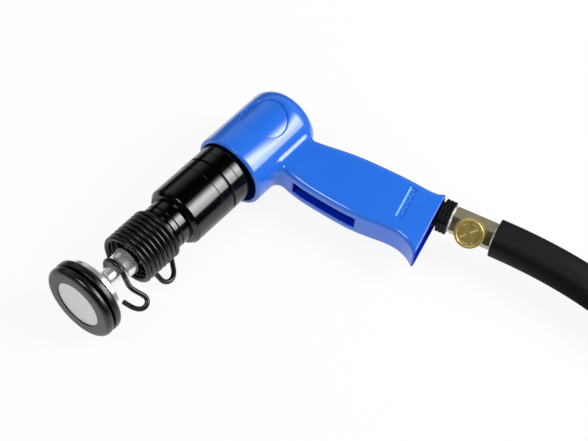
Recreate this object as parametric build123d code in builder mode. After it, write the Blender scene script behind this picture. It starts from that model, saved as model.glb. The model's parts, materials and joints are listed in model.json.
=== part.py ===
"""Pistol-grip pneumatic hammer with a flat forming set, in millimetres.

X is the barrel's axis, forward, with the steel working face at x = 0. Y runs towards the foot of the grip.
Z points to the tool's left side, which is up as it lies on a bench.
"""
import os
from math import asin, cos, degrees, pi, radians, sin, sqrt, tan

from build123d import *

# Forming set
FACE_RADIUS = 15.4
BOSS_LENGTH = 8.0
FLANGE_RADIUS = 20.5
FLANGE_RIM = 6.4
FLANGE_LENGTH = 12.0
NECK_RADIUS = 5.1
NECK_LENGTH = 13.0
COLLAR_RADIUS = 8.3
COLLAR_LENGTH = 8.0
SHANK_LENGTH = 29.0
NECK_FILLET = 6.0
SET_TRAVEL = 5.0

# Guard ring round the face
RING_WALL = 3.5
RING_PROUD = 0.6
RING_LOBE = 4.8
RING_GROOVE = 1.8
RING_SLOPE = 0.3
RING_OVERLAP = 3.0

# Barrel
BARREL_RADIUS = 19.0
STOP_STEP = 4.4
NOSE_STEP = 0.5
CORE_STEP = 2.5
SLEEVE_STEP = 0.15
NOSE_LENGTH = 21.1
STOP_LENGTH = 2.9
STOP_GROOVE = 1.0
STOP_GROOVE_DEPTH = 0.8
SHOULDER_LENGTH = 6.3
BARREL_LENGTH = 24.9
FRONT_BEVEL = 2.6
FRONT_BEVEL_DEPTH = 2.2
LOCK_RING_LENGTH = 7.5
SNAP_GROOVE = 1.5
SCORE_PLACE = 6.5
SCORE_WIDTH = 0.5
SCORE_DEPTH = 0.4
PORT_HOLE = 1.8
PORT_ANGLES = (45.0, 135.0, 225.0, 315.0)
PISTON_RADIUS = 9.5
PISTON_LENGTH = 28.0
PISTON_GROOVE = 9.0
PISTON_GROOVE_WIDTH = 2.0
PISTON_GROOVE_DEPTH = 0.6
PISTON_TIP = 2.0
PISTON_TIP_DEPTH = 3.0

# Retainer spring
WIRE_RADIUS = 1.4
COIL_PITCH = 3.36
COIL_TURNS = 7.67
COIL_STEPS = 15
WIRE_SAMPLES = 800
LOOP_GAP = 1.0
COIL_GAP = 0.4
NECK_GAP = 0.9

# Rear finger loop: places forward of the coil's end and out from it in coil radii, and headings
TAIL_ANGLE = -50.0
TAIL_SHARES = (
    (0.8886, 0.2511, 99.0),
    (0.8371, 0.5087, 101.0),
    (0.4958, 0.8178, 180.0),
    (0.1545, 0.5151, 252.0),
    (0.0322, 0.1674, 262.0),
)

# Front hook: places forward of the loop and across it in loop radii, and headings
HOOK_SHARES = (
    ((-0.946, -1.486, -1.540), (0.75, 0.45, -0.48)),
    ((-0.378, -1.203, -1.432), (0.80, 0.20, 0.57)),
    ((-0.014, -1.027, -0.568), (0.15, 0.08, 0.985)),
    ((0.054, -0.993, 0.108), (0.0, 0.05, 1.0)),
    ((0.014, -0.703, 0.730), (-0.05, 0.72, 0.69)),
    ((0.000, 0.000, 1.000), (0.0, 1.0, 0.0)),
    ((0.054, 0.676, 0.743), (0.08, 0.75, -0.66)),
    ((0.122, 1.162, 0.216), (0.10, 0.80, -0.59)),
    ((0.216, 1.689, -0.176), (-0.05, 0.85, -0.52)),
    ((-0.095, 2.486, -0.676), (-0.42, 0.72, -0.55)),
    ((-0.243, 3.068, -1.081), (0.35, 0.75, -0.56)),
    ((0.230, 3.297, -1.351), (0.85, -0.20, -0.48)),
    ((0.635, 2.757, -1.703), (0.25, -0.92, -0.30)),
    ((0.757, 1.568, -1.919), (0.05, -0.98, -0.18)),
)

# Housing head
MOUTH_X = -126.0
HEAD_OFFSET = 1.35
MOUTH_WALL = 2.4
MOUTH_GAP = 2.05
MOUTH_DEPTH = 10.0
SEAT_DEPTH = 24.0
DOME_X = -171.5
DOME_LENGTH = 14.7
DOME_CORNER = 11.5
FIELD_X = -157.3
FIELD_RADIUS = 13.9
FIELD_DEPTH = 1.0

# Reversing valve
SEAT_LENGTH = 4.5
CAGE_LENGTH = 8.0
CAGE_BORE = 11.0
SEAT_HOLE = 6.0
SHUTTLE_HOLE = 3.5
SHUTTLE_LENGTH = 5.0
CAP_LENGTH = 4.5
GASKET_LENGTH = 1.0
PIN_RADIUS = 1.5

# Grip: distance along it, front, back, half thickness at the back and in front
GRIP_ROOT = (-158.5, 0.0, 0.0)
GRIP_LEAN = 15.0
GRIP_SECTIONS = (
    (8.0, 17.0, -8.0, 10.6, 10.4),
    (26.0, 22.0, -7.6, 10.6, 10.2),
    (44.0, 26.8, -8.4, 11.2, 9.8),
    (62.0, 29.3, -9.0, 12.0, 9.8),
    (80.0, 29.9, -8.5, 12.0, 9.8),
    (96.0, 29.3, -7.8, 11.1, 9.6),
    (106.0, 32.0, -7.2, 10.5, 9.2),
    (114.0, 38.5, -9.8, 10.4, 8.4),
)
GRIP_CORNER = 3.2
BACK_CORNER = 4.5
WEB_FILLET = 6.0
STRIP_PLACE = 96.0
STRIP_MIDDLE = 9.0
STRIP_LENGTH = 23.0
STRIP_WIDTH = 4.6
STRIP_HEIGHT = 11.0
SLOT_START = 31.0
SLOT_END = 72.8
SLOT_HALF_WIDTH = 4.3
SLOT_FLOOR = 8.0
FOOT_WALL = 2.0
BOSS_RADIUS = 8.4
BOSS_SINK = 1.0
AIR_BORE = 4.0

# Air inlet, distances along the grip
PORT_END = 100.0
PORT_RADIUS = 6.6
BUSHING_START = 115.2
BUSHING_FLATS = 18.0
BUSHING_LENGTH = 7.0
BUSHING_STEP = 1.1
SOCKET_RADIUS = 5.2
SOCKET_DEPTH = 4.7
SCREEN_LENGTH = 1.2
SCREEN_HOLE = 0.6
SCREEN_PITCH = 0.95
WASHER_LENGTH = 1.2
WASHER_RADIUS = 7.6
BODY_FLATS = 15.0
BODY_LENGTH = 25.6
BODY_BORE = 3.0
KNOB_ANGLE = 38.7
KNOB_PLACE = 12.9
KNOB_RADIUS = 9.0
KNOB_LENGTH = 5.9
KNOB_RIM = 1.3
KNOB_SINK = 0.8
STEM_RADIUS = 2.4
STEM_REACH = 1.5
O_RING_WIRE = 0.85
GLAND_LENGTH = 0.8

# Hose and its far end
HOSE_RADIUS = 11.5
HOSE_BORE = 6.35
HOSE_WASHER_RADIUS = 8.0
HOSE_WASHER_LENGTH = 0.7
SPIGOT_RADIUS = 5.0
SPIGOT_LENGTH = 8.0
BARB_BORE = 2.8
BARB_TEETH = 5
BARB_TOOTH = 5.2
BARB_STEP = 0.7
HOSE_STRAIGHT = 60.0
HOSE_HEADINGS = (5.0, 41.0, 79.0, 117.0, 155.0, 172.0)
HOSE_RUNS = (94.0, 94.0, 94.0, 94.0, 94.0, 82.5)
BEND_SHARE = 0.45
FERRULE_RADIUS = 13.0
FERRULE_LENGTH = 26.0
FERRULE_WALL = 2.0
CRIMPS = 3
CRIMP_START = 4.0
CRIMP_PITCH = 6.5
CRIMP_WIDTH = 4.0
CRIMP_DEPTH = 0.6
PLUG_FLATS = 17.0
PLUG_HEX = 9.0
PLUG_COLLAR = 5.95
PLUG_NOSE = 3.95
PLUG_NOSE_LENGTH = 8.0
PLUG_NECK_LENGTH = 6.0
PLUG_NECK_DEPTH = 1.0
PLUG_COLLAR_LENGTH = 4.5
PLUG_TAPER = 2.0

# Broken edges
EDGE_BREAK = 0.8
CAST_BREAK = 0.6
FINE_BREAK = 0.25

# Clearances
RUNNING = 0.05
STOP_GAP = 0.3
SEATED = 0.05
COIL_FIT = 0.03

# How near an edge has to be to a stated place to be picked
MATCH = 0.01

# Radii and places along the barrel that follow from the above
ring_radius = FLANGE_RADIUS + RING_WALL
stop_radius = BARREL_RADIUS - STOP_STEP
nose_radius = stop_radius - NOSE_STEP
core_radius = BARREL_RADIUS - CORE_STEP
sleeve_radius = BARREL_RADIUS - SLEEVE_STEP
head_radius = sleeve_radius + MOUTH_GAP + MOUTH_WALL
x_flange = -BOSS_LENGTH
x_rim = x_flange - FLANGE_RIM
x_neck = x_flange - FLANGE_LENGTH
x_collar = x_neck - NECK_LENGTH
x_collar_back = x_collar - COLLAR_LENGTH
x_shank = x_collar_back - SHANK_LENGTH
x_nose = x_collar_back - SET_TRAVEL - STOP_GAP
x_stop = x_nose - NOSE_LENGTH - STOP_GROOVE
x_shoulder = x_stop - STOP_LENGTH - STOP_GROOVE
x_main = x_shoulder - SHOULDER_LENGTH
x_lock = x_main - BARREL_LENGTH
x_snap = x_lock - LOCK_RING_LENGTH
x_sleeve = x_snap - SNAP_GROOVE
x_step = MOUTH_X - MOUTH_DEPTH
x_seat = MOUTH_X - SEAT_DEPTH
x_cage = x_seat - SEAT_LENGTH
x_cap = x_cage - CAGE_LENGTH
x_gasket = x_cap - CAP_LENGTH
x_bore = x_gasket - GASKET_LENGTH
valve_radius = core_radius
seat_bore = valve_radius + SEATED
piston_bore = PISTON_RADIUS + RUNNING

# Axes of the grip
along = Vector(-sin(radians(GRIP_LEAN)), cos(radians(GRIP_LEAN)), 0)
ahead = Vector(cos(radians(GRIP_LEAN)), sin(radians(GRIP_LEAN)), 0)
root = Vector(*GRIP_ROOT)

os.makedirs("parts", exist_ok=True)


def grip_plane(distance):
    """Plane square to the grip, with its x forward and its normal towards the foot."""
    return Plane(origin=root + along * distance, x_dir=ahead, z_dir=along)


def turned(points):
    """Solid of revolution about the barrel's axis from (x, radius) points."""
    with BuildPart() as solid:
        with BuildSketch(Plane.XY):
            with BuildLine():
                Polyline(*points, close=True)
            make_face()
        revolve(axis=Axis.X)
    return solid.part


def rod(plane, start, end, radius):
    """Cylinder along a plane's normal, from one distance to another."""
    with BuildPart() as solid:
        with BuildSketch(plane.offset(start)):
            Circle(radius)
        extrude(amount=end - start)
    return solid.part


def hexagon(plane, start, end, flats, turn):
    """Hexagonal bar along a plane's normal, with one flat facing the angle of turn."""
    with BuildPart() as solid:
        with BuildSketch(plane.offset(start)):
            RegularPolygon(flats / 2, 6, major_radius=False, rotation=turn - 30)
        extrude(amount=end - start)
    return solid.part


def port_plane(angle):
    """Plane on the barrel's axis that faces outwards at an angle, for the exhaust ports."""
    outward = (0, cos(radians(angle)), sin(radians(angle)))
    return Plane(origin=((MOUTH_X + x_step) / 2, 0, 0), x_dir=(1, 0, 0), z_dir=outward)


def circles_at(builder, x, radius):
    """Round edges of a piece at one place along the barrel's axis."""
    rounds = builder.part.edges().filter_by(GeomType.CIRCLE)
    return rounds.filter_by(lambda e: abs(e.center().X - x) < MATCH and abs(e.radius - radius) < MATCH)


def edges_on(edges, plane):
    """Those edges of a list that lie in a plane."""
    return edges.filter_by(lambda e: abs((e @ 0.5 - plane.origin).dot(plane.z_dir)) < MATCH)


def save(builder, name):
    """Labels a piece and writes its file."""
    builder.part.label = name
    export_step(builder.part, f"parts/{name}.step")


# Forming set: face boss, domed flange, neck, collar and shank
with BuildPart() as forming_set:
    with BuildSketch(Plane.XY):
        with BuildLine():
            Polyline((x_shank, 0), (0, 0), (0, FACE_RADIUS), (x_flange, FACE_RADIUS))
            Polyline((x_flange, FACE_RADIUS), (x_flange, FLANGE_RADIUS), (x_rim, FLANGE_RADIUS))
            Polyline((x_rim, FLANGE_RADIUS), (x_neck, NECK_RADIUS), (x_collar, NECK_RADIUS))
            Polyline((x_collar, NECK_RADIUS), (x_collar, COLLAR_RADIUS), (x_collar_back, COLLAR_RADIUS))
            Polyline((x_collar_back, COLLAR_RADIUS), (x_collar_back, NECK_RADIUS), (x_shank, NECK_RADIUS))
            Line((x_shank, NECK_RADIUS), (x_shank, 0))
        make_face()
    revolve(axis=Axis.X)
    fillet(circles_at(forming_set, x_neck, NECK_RADIUS), NECK_FILLET)
    fillet(circles_at(forming_set, x_rim, FLANGE_RADIUS), EDGE_BREAK)
    for x in (x_collar, x_collar_back):
        chamfer(circles_at(forming_set, x, COLLAR_RADIUS), EDGE_BREAK)
    chamfer(circles_at(forming_set, x_shank, NECK_RADIUS), EDGE_BREAK)
    chamfer(circles_at(forming_set, 0, FACE_RADIUS), FINE_BREAK)
save(forming_set, "forming_set")

# Guard ring: two rounded lobes with a groove between, over the face's rim and the flange
ring_front = RING_PROUD
ring_groove = ring_front - RING_LOBE
ring_rear = ring_groove - RING_GROOVE
ring_back = x_flange - RING_OVERLAP
with BuildPart() as rubber_ring:
    add(
        turned(
            (
                (ring_front, FACE_RADIUS + SEATED),
                (ring_front, ring_radius),
                (ring_groove, ring_radius),
                (ring_groove - RING_SLOPE, FLANGE_RADIUS),
                (ring_rear + RING_SLOPE, FLANGE_RADIUS),
                (ring_rear, ring_radius),
                (ring_back, ring_radius),
                (ring_back, FLANGE_RADIUS + SEATED),
                (x_flange, FLANGE_RADIUS + SEATED),
                (x_flange, FACE_RADIUS + SEATED),
            )
        )
    )
    fillet(circles_at(rubber_ring, ring_front, ring_radius), 0.62 * RING_LOBE)
    for x in (ring_groove, ring_rear):
        fillet(circles_at(rubber_ring, x, ring_radius), 0.5 * RING_GROOVE)
    fillet(circles_at(rubber_ring, ring_back, ring_radius), 0.8 * RING_OVERLAP)
save(rubber_ring, "rubber_ring")

# Barrel: nose, stop ring, shoulder and main section, and the core that goes into the head
with BuildPart() as barrel:
    add(
        turned(
            (
                (x_nose, NECK_RADIUS + RUNNING),
                (x_nose, nose_radius - EDGE_BREAK),
                (x_nose - EDGE_BREAK, nose_radius),
                (x_stop + STOP_GROOVE, nose_radius),
                (x_stop + STOP_GROOVE, nose_radius - STOP_GROOVE_DEPTH),
                (x_stop, nose_radius - STOP_GROOVE_DEPTH),
                (x_stop, stop_radius - FINE_BREAK),
                (x_stop - FINE_BREAK, stop_radius),
                (x_stop - STOP_LENGTH, stop_radius),
                (x_stop - STOP_LENGTH, stop_radius - STOP_GROOVE_DEPTH),
                (x_shoulder, stop_radius - STOP_GROOVE_DEPTH),
                (x_shoulder, stop_radius - FINE_BREAK),
                (x_shoulder - FINE_BREAK, stop_radius),
                (x_main, stop_radius),
                (x_main, BARREL_RADIUS - FRONT_BEVEL_DEPTH),
                (x_main - FRONT_BEVEL, BARREL_RADIUS),
                (x_lock + FINE_BREAK, BARREL_RADIUS),
                (x_lock, BARREL_RADIUS - FINE_BREAK),
                (x_lock, core_radius),
                (x_seat, core_radius),
                (x_seat, piston_bore),
                (x_shank - SET_TRAVEL, piston_bore),
                (x_shank - SET_TRAVEL, NECK_RADIUS + RUNNING),
            )
        )
    )
    fillet(circles_at(barrel, x_main, BARREL_RADIUS - FRONT_BEVEL_DEPTH), EDGE_BREAK)
    fillet(circles_at(barrel, x_main - FRONT_BEVEL, BARREL_RADIUS), 2 * EDGE_BREAK)
    for angle in PORT_ANGLES:
        with BuildSketch(port_plane(angle)):
            Circle(PORT_HOLE)
        extrude(amount=BARREL_RADIUS, mode=Mode.SUBTRACT)
save(barrel, "barrel")

# Lock ring, wire snap ring and rear sleeve on the barrel's core
core_fit = core_radius + SEATED
with BuildPart() as barrel_lock_ring:
    add(
        turned(
            (
                (x_lock, core_fit),
                (x_lock, BARREL_RADIUS - FINE_BREAK),
                (x_lock - FINE_BREAK, BARREL_RADIUS),
                (x_snap + FINE_BREAK, BARREL_RADIUS),
                (x_snap, BARREL_RADIUS - FINE_BREAK),
                (x_snap, core_fit),
            )
        )
    )
save(barrel_lock_ring, "barrel_lock_ring")

with BuildPart() as barrel_snap_ring:
    with BuildSketch(Plane.XY):
        with Locations((x_snap - SNAP_GROOVE / 2, core_fit + SNAP_GROOVE / 2)):
            Circle((SNAP_GROOVE - SEATED) / 2)
    revolve(axis=Axis.X, revolution_arc=330)
save(barrel_snap_ring, "barrel_snap_ring")

with BuildPart() as barrel_sleeve:
    score = x_sleeve - SCORE_PLACE
    add(
        turned(
            (
                (x_sleeve, core_fit),
                (x_sleeve, sleeve_radius - FINE_BREAK),
                (x_sleeve - FINE_BREAK, sleeve_radius),
                (score, sleeve_radius),
                (score - SCORE_WIDTH / 2, sleeve_radius - SCORE_DEPTH),
                (score - SCORE_WIDTH, sleeve_radius),
                (x_step, sleeve_radius),
                (x_step, core_fit),
            )
        )
    )
    for angle in PORT_ANGLES:
        with BuildSketch(port_plane(angle)):
            Circle(PORT_HOLE)
        extrude(amount=BARREL_RADIUS, mode=Mode.SUBTRACT)
save(barrel_sleeve, "barrel_sleeve")

# Free piston, at the rear end of its stroke
x_piston = x_seat + STOP_GAP
groove_start = x_piston + PISTON_GROOVE
groove_end = groove_start + PISTON_GROOVE_WIDTH
with BuildPart() as piston:
    add(
        turned(
            (
                (x_piston, 0),
                (x_piston, PISTON_RADIUS - EDGE_BREAK),
                (x_piston + EDGE_BREAK, PISTON_RADIUS),
                (groove_start, PISTON_RADIUS),
                (groove_start, PISTON_RADIUS - PISTON_GROOVE_DEPTH),
                (groove_end, PISTON_RADIUS - PISTON_GROOVE_DEPTH),
                (groove_end, PISTON_RADIUS),
                (x_piston + PISTON_LENGTH - PISTON_TIP, PISTON_RADIUS),
                (x_piston + PISTON_LENGTH, PISTON_RADIUS - PISTON_TIP_DEPTH),
                (x_piston + PISTON_LENGTH, 0),
            )
        )
    )
save(piston, "piston")

# Reversing valve: seat, cage, shuttle, cap, gasket and the two dowels through them
pin_hole = PIN_RADIUS + SEATED
pin_circle = (CAGE_BORE + valve_radius) / 2
pin_spots = ((0, pin_circle), (0, -pin_circle))


def valve_disc(start, length, bore):
    """Disc of the valve stack with its bore and the two dowel holes."""
    with BuildPart() as disc:
        with BuildSketch(Plane(origin=(start, 0, 0), x_dir=(0, 1, 0), z_dir=(-1, 0, 0))):
            Circle(valve_radius)
            Circle(bore, mode=Mode.SUBTRACT)
            with Locations(*pin_spots):
                Circle(pin_hole, mode=Mode.SUBTRACT)
        extrude(amount=length)
    return disc.part


with BuildPart() as valve_seat:
    add(valve_disc(x_seat, SEAT_LENGTH, SEAT_HOLE))
save(valve_seat, "valve_seat")

with BuildPart() as valve_cage:
    add(valve_disc(x_cage, CAGE_LENGTH, CAGE_BORE))
save(valve_cage, "valve_cage")

with BuildPart() as valve_cap:
    add(valve_disc(x_cap, CAP_LENGTH, AIR_BORE))
    with BuildSketch(Plane(origin=(x_cap - CAP_LENGTH / 2, 0, 0), z_dir=(0, 1, 0))):
        Circle(PORT_HOLE)
    extrude(amount=2 * valve_radius, mode=Mode.SUBTRACT)
save(valve_cap, "valve_cap")

x_shuttle = x_cap + STOP_GAP
shuttle_radius = CAGE_BORE - RUNNING
with BuildPart() as valve_shuttle:
    add(
        turned(
            (
                (x_shuttle, SHUTTLE_HOLE),
                (x_shuttle, shuttle_radius - FINE_BREAK),
                (x_shuttle + FINE_BREAK, shuttle_radius),
                (x_shuttle + SHUTTLE_LENGTH - FINE_BREAK, shuttle_radius),
                (x_shuttle + SHUTTLE_LENGTH, shuttle_radius - FINE_BREAK),
                (x_shuttle + SHUTTLE_LENGTH, SHUTTLE_HOLE),
            )
        )
    )
save(valve_shuttle, "valve_shuttle")

with BuildPart() as valve_gasket:
    add(rod(Plane.YZ, x_bore, x_gasket, valve_radius))
    add(rod(Plane.YZ, x_bore, x_gasket, AIR_BORE), mode=Mode.SUBTRACT)
save(valve_gasket, "valve_gasket")

with BuildPart() as valve_pins:
    with BuildSketch(Plane(origin=(x_seat - STOP_GAP, 0, 0), x_dir=(0, 1, 0), z_dir=(-1, 0, 0))):
        with Locations(*pin_spots):
            Circle(PIN_RADIUS)
    extrude(amount=SEAT_LENGTH + CAGE_LENGTH + CAP_LENGTH - 2 * STOP_GAP)
save(valve_pins, "valve_pins")

# Retainer spring: one wire, from the rear finger loop through the coil to the hook over the set's neck
coil_radius = nose_radius + COIL_FIT + WIRE_RADIUS
coil_lead = COIL_PITCH / (2 * pi)
coil_sweep = 360 * COIL_TURNS
x_coil = x_stop + STOP_GROOVE + WIRE_RADIUS + COIL_GAP
x_loop = x_collar + LOOP_GAP + WIRE_RADIUS
loop_radius = NECK_RADIUS + WIRE_RADIUS + NECK_GAP
bend = 2 * WIRE_RADIUS
coil_start = TAIL_ANGLE + degrees(asin(bend / (coil_radius + bend)))


def around(x, radius, angle):
    """Point at an angle round the barrel's axis, from Y towards Z."""
    return Vector(x, radius * cos(radians(angle)), radius * sin(radians(angle)))


def coil_station(swept):
    """Point and direction of the wire after an angle swept along the coil."""
    angle = radians(coil_start + swept)
    point = around(x_coil + coil_lead * radians(swept), coil_radius, coil_start + swept)
    return point, Vector(coil_lead, -coil_radius * sin(angle), coil_radius * cos(angle)).normalized()


def tail_station(forward, outward, heading):
    """Point and direction on the rear finger loop, which stands out from the coil."""
    radial = Vector(0, cos(radians(TAIL_ANGLE)), sin(radians(TAIL_ANGLE)))
    point = around(x_coil + forward * coil_radius, (1 + outward) * coil_radius, TAIL_ANGLE)
    return point, (Vector(cos(radians(heading)), 0, 0) + radial * sin(radians(heading))).normalized()


def biarc(start, end):
    """Two arcs that leave one station and arrive at the next along its direction."""
    (p0, t0), (p1, t1) = start, end
    v, t = p1 - p0, t0 + t1
    a, b, c = 2 * (1 - t0.dot(t1)), 2 * v.dot(t), -v.dot(v)
    d = -c / b if a < 1e-6 else (sqrt(b * b - 4 * a * c) - b) / (2 * a)
    near, far = p0 + t0 * d, p1 - t1 * d
    joint = (near + far) * 0.5
    TangentArc(p0, joint, tangent=t0)
    TangentArc(joint, p1, tangent=(far - near).normalized())


stations = [tail_station(*row) for row in TAIL_SHARES]
stations += [coil_station(coil_sweep * step / COIL_STEPS) for step in range(COIL_STEPS + 1)]
for (forward, across, up), heading in HOOK_SHARES:
    place = Vector(x_loop, 0, 0) + Vector(forward, across, up) * loop_radius
    stations.append((place, Vector(*heading).normalized()))
with BuildPart() as retainer_spring:
    with BuildLine() as wire:
        for first, second in zip(stations, stations[1:]):
            biarc(first, second)
    with BuildSketch(Plane(origin=stations[0][0], z_dir=stations[0][1])):
        Circle(WIRE_RADIUS)
    sweep(path=wire.wires()[0])
save(retainer_spring, "retainer_spring")
wire_line = wire.wires()[0]
wire_spots = [wire_line @ (step / WIRE_SAMPLES) for step in range(WIRE_SAMPLES + 1)]
apart = round(WIRE_SAMPLES * pi * coil_radius / wire_line.length)
gaps = [(a - b).length for i, a in enumerate(wire_spots) for b in wire_spots[i + apart:]]
least_gap = min(gaps) - 2 * WIRE_RADIUS
print(f"spring: least gap to itself {least_gap:.2f} mm over {wire_line.length:.0f} mm of wire")


# Housing: head and pistol grip in one casting
def grip_section(row, inset=0.0):
    """Outline of the grip at one station: a flat front and flat sides, with round corners."""
    distance, front, back, rear_half, front_half = row
    front, back = front - inset, back + inset
    rear_half, front_half = rear_half - inset, front_half - inset
    with BuildSketch(grip_plane(distance)) as outline:
        with BuildLine():
            Polyline(
                (front, -front_half), (front, front_half), (back, rear_half), (back, -rear_half), close=True
            )
        make_face()
        fillet(outline.vertices().sort_by(Axis.X)[2:], GRIP_CORNER - inset / 2)
        fillet(outline.vertices().sort_by(Axis.X)[:2], BACK_CORNER - inset / 2)
    return outline.sketch


# The head's axis lies nearer the grip than the barrel's, and a round corner and a flat cap close its back
head_plane = Plane(origin=(0, HEAD_OFFSET, 0), x_dir=(0, 1, 0), z_dir=(1, 0, 0))
dome_rise = DOME_LENGTH - DOME_CORNER
corner_height = head_radius - DOME_CORNER
cap_shift = (corner_height**2 - dome_rise**2) / (2 * dome_rise)
cap_centre = Vector(DOME_X + cap_shift, 0)
corner_centre = Vector(DOME_X, corner_height)
dome_joint = corner_centre + (corner_centre - cap_centre).normalized() * DOME_CORNER
with BuildPart() as sunk_field:
    add(rod(Plane(origin=(FIELD_X, 0, 0)), -2 * head_radius, 2 * head_radius, FIELD_RADIUS))
    kept = rod(head_plane, FIELD_X - head_radius, FIELD_X + head_radius, head_radius - FIELD_DEPTH)
    add(kept, mode=Mode.SUBTRACT)


def reach(edge):
    """Distance of an edge from the head's axis."""
    spoke = edge @ 0.3 - head_plane.origin
    return sqrt(spoke.Y**2 + spoke.Z**2)


# The side strip lies along the flat side of the grip, which comes nearer the middle towards the front
strip_row = GRIP_SECTIONS[-3]
strip_slope = ahead * (strip_row[1] - strip_row[2]) + Vector(0, 0, strip_row[4] - strip_row[3])
strip_place = root + along * STRIP_PLACE + ahead * STRIP_MIDDLE + Vector(0, 0, STRIP_HEIGHT)
strip_plane = Plane(origin=strip_place, x_dir=strip_slope, z_dir=strip_slope.cross(along))

with BuildPart() as grip_form:
    loft([grip_section(row) for row in GRIP_SECTIONS])

with BuildPart() as grip_housing:
    with BuildSketch(Plane(origin=(0, HEAD_OFFSET, 0), x_dir=(1, 0, 0), z_dir=(0, 0, -1))):
        with BuildLine():
            Polyline((DOME_X - DOME_LENGTH, 0), (MOUTH_X, 0), (MOUTH_X, head_radius))
            Line((MOUTH_X, head_radius), (DOME_X, head_radius))
            corner = TangentArc((DOME_X, head_radius), dome_joint, tangent=(-1, 0))
            TangentArc(dome_joint, (DOME_X - DOME_LENGTH, 0), tangent=corner % 1)
        make_face()
    revolve(axis=Axis(head_plane.origin, head_plane.z_dir))
    add(grip_form.part)
    fillet(grip_housing.edges(Select.NEW), WEB_FILLET)
    fillet(circles_at(grip_housing, MOUTH_X, head_radius), 0.6 * MOUTH_WALL)
    add(sunk_field.part, mode=Mode.SUBTRACT)
    rims = grip_housing.edges(Select.LAST)
    fillet(rims.filter_by(lambda e: reach(e) > head_radius - MATCH), CAST_BREAK)
    # Side strip, slot, hollow foot with its inlet boss
    with BuildSketch(strip_plane):
        RectangleRounded(STRIP_LENGTH, STRIP_WIDTH, EDGE_BREAK)
    extrude(amount=-STRIP_HEIGHT / 2)
    fillet(edges_on(grip_housing.edges(Select.LAST), strip_plane), FINE_BREAK)
    slot_middle = root + along * ((SLOT_START + SLOT_END) / 2) + ahead * SLOT_FLOOR
    with BuildSketch(Plane(origin=slot_middle, x_dir=along, z_dir=ahead)):
        RectangleRounded(SLOT_END - SLOT_START, 2 * SLOT_HALF_WIDTH, EDGE_BREAK)
    extrude(amount=2 * head_radius, mode=Mode.SUBTRACT)
    brim = grip_housing.edges(Select.LAST)
    brim = brim.filter_by(lambda e: (e @ 0.5 - root).dot(ahead) > SLOT_FLOOR + SLOT_HALF_WIDTH)
    fillet(brim.filter_by(lambda e: abs((e % 0.5).dot(ahead)) < 0.7), EDGE_BREAK)
    loft([grip_section(row, FOOT_WALL) for row in GRIP_SECTIONS[-2:]], mode=Mode.SUBTRACT)
    foot = GRIP_SECTIONS[-1][0]
    lip = grip_housing.faces().sort_by(Axis(root, along))[-1]
    fillet(lip.outer_wire().edges(), EDGE_BREAK)
    add(rod(grip_plane(0), PORT_END, foot - BOSS_SINK, BOSS_RADIUS))
    add(rod(grip_plane(0), PORT_END, foot, PORT_RADIUS), mode=Mode.SUBTRACT)
    add(rod(grip_plane(0), core_radius - AIR_BORE, PORT_END, AIR_BORE), mode=Mode.SUBTRACT)
    add(rod(head_plane, x_step, MOUTH_X, head_radius - MOUTH_WALL), mode=Mode.SUBTRACT)
    add(rod(Plane.YZ, x_bore, x_step, seat_bore), mode=Mode.SUBTRACT)
save(grip_housing, "grip_housing")

# Inlet bushing, its screen and washer
bushing_end = BUSHING_START + BUSHING_LENGTH
socket_floor = bushing_end - SOCKET_DEPTH
body_start = bushing_end + WASHER_LENGTH
body_end = body_start + BODY_LENGTH
axis_plane = grip_plane(0)
with BuildPart() as inlet_bushing:
    add(hexagon(axis_plane, BUSHING_START, bushing_end, BUSHING_FLATS, 0))
    add(rod(axis_plane, foot - BOSS_SINK, BUSHING_START, PORT_RADIUS + BUSHING_STEP))
    add(rod(axis_plane, PORT_END + STOP_GAP, foot - BOSS_SINK, PORT_RADIUS - SEATED))
    add(rod(axis_plane, socket_floor, bushing_end, SOCKET_RADIUS), mode=Mode.SUBTRACT)
    add(rod(axis_plane, PORT_END, socket_floor, AIR_BORE), mode=Mode.SUBTRACT)
save(inlet_bushing, "inlet_bushing")

with BuildPart() as inlet_screen:
    add(rod(axis_plane, socket_floor, socket_floor + SCREEN_LENGTH, SOCKET_RADIUS - SEATED))
    with BuildSketch(grip_plane(socket_floor)):
        with HexLocations(SCREEN_PITCH, 3, 3):
            Circle(SCREEN_HOLE)
    extrude(amount=SCREEN_LENGTH, mode=Mode.SUBTRACT)
save(inlet_screen, "inlet_screen")

with BuildPart() as inlet_washer:
    add(rod(axis_plane, bushing_end, body_start, WASHER_RADIUS))
    add(rod(axis_plane, bushing_end, body_start, SOCKET_RADIUS), mode=Mode.SUBTRACT)
save(inlet_washer, "inlet_washer")

# Flow regulator: hexagon body with a stem across it, sealed and topped by a round knob
knob_out = ahead * cos(radians(KNOB_ANGLE)) + Vector(0, 0, sin(radians(KNOB_ANGLE)))
stem_plane = Plane(origin=root + along * (body_start + KNOB_PLACE), x_dir=along, z_dir=knob_out)
face_height = BODY_FLATS / 2
gland_top = face_height + GLAND_LENGTH
knob_base = gland_top + STOP_GAP
stem_fit = STEM_RADIUS + RUNNING
ring_pocket = stem_fit + 2 * O_RING_WIRE
hose_start = body_end + HOSE_WASHER_LENGTH + STOP_GAP
with BuildPart() as regulator_body:
    add(hexagon(axis_plane, body_start, body_end, BODY_FLATS, -KNOB_ANGLE))
    add(rod(axis_plane, socket_floor + SCREEN_LENGTH + STOP_GAP, body_start, SOCKET_RADIUS - SEATED))
    add(rod(axis_plane, socket_floor, body_end, BODY_BORE), mode=Mode.SUBTRACT)
    add(rod(axis_plane, body_end - SPIGOT_LENGTH, body_end, SPIGOT_RADIUS), mode=Mode.SUBTRACT)
    add(rod(stem_plane, 0, face_height, stem_fit), mode=Mode.SUBTRACT)
    add(rod(stem_plane, face_height - 2 * O_RING_WIRE, face_height, ring_pocket), mode=Mode.SUBTRACT)
save(regulator_body, "regulator_body")

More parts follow.
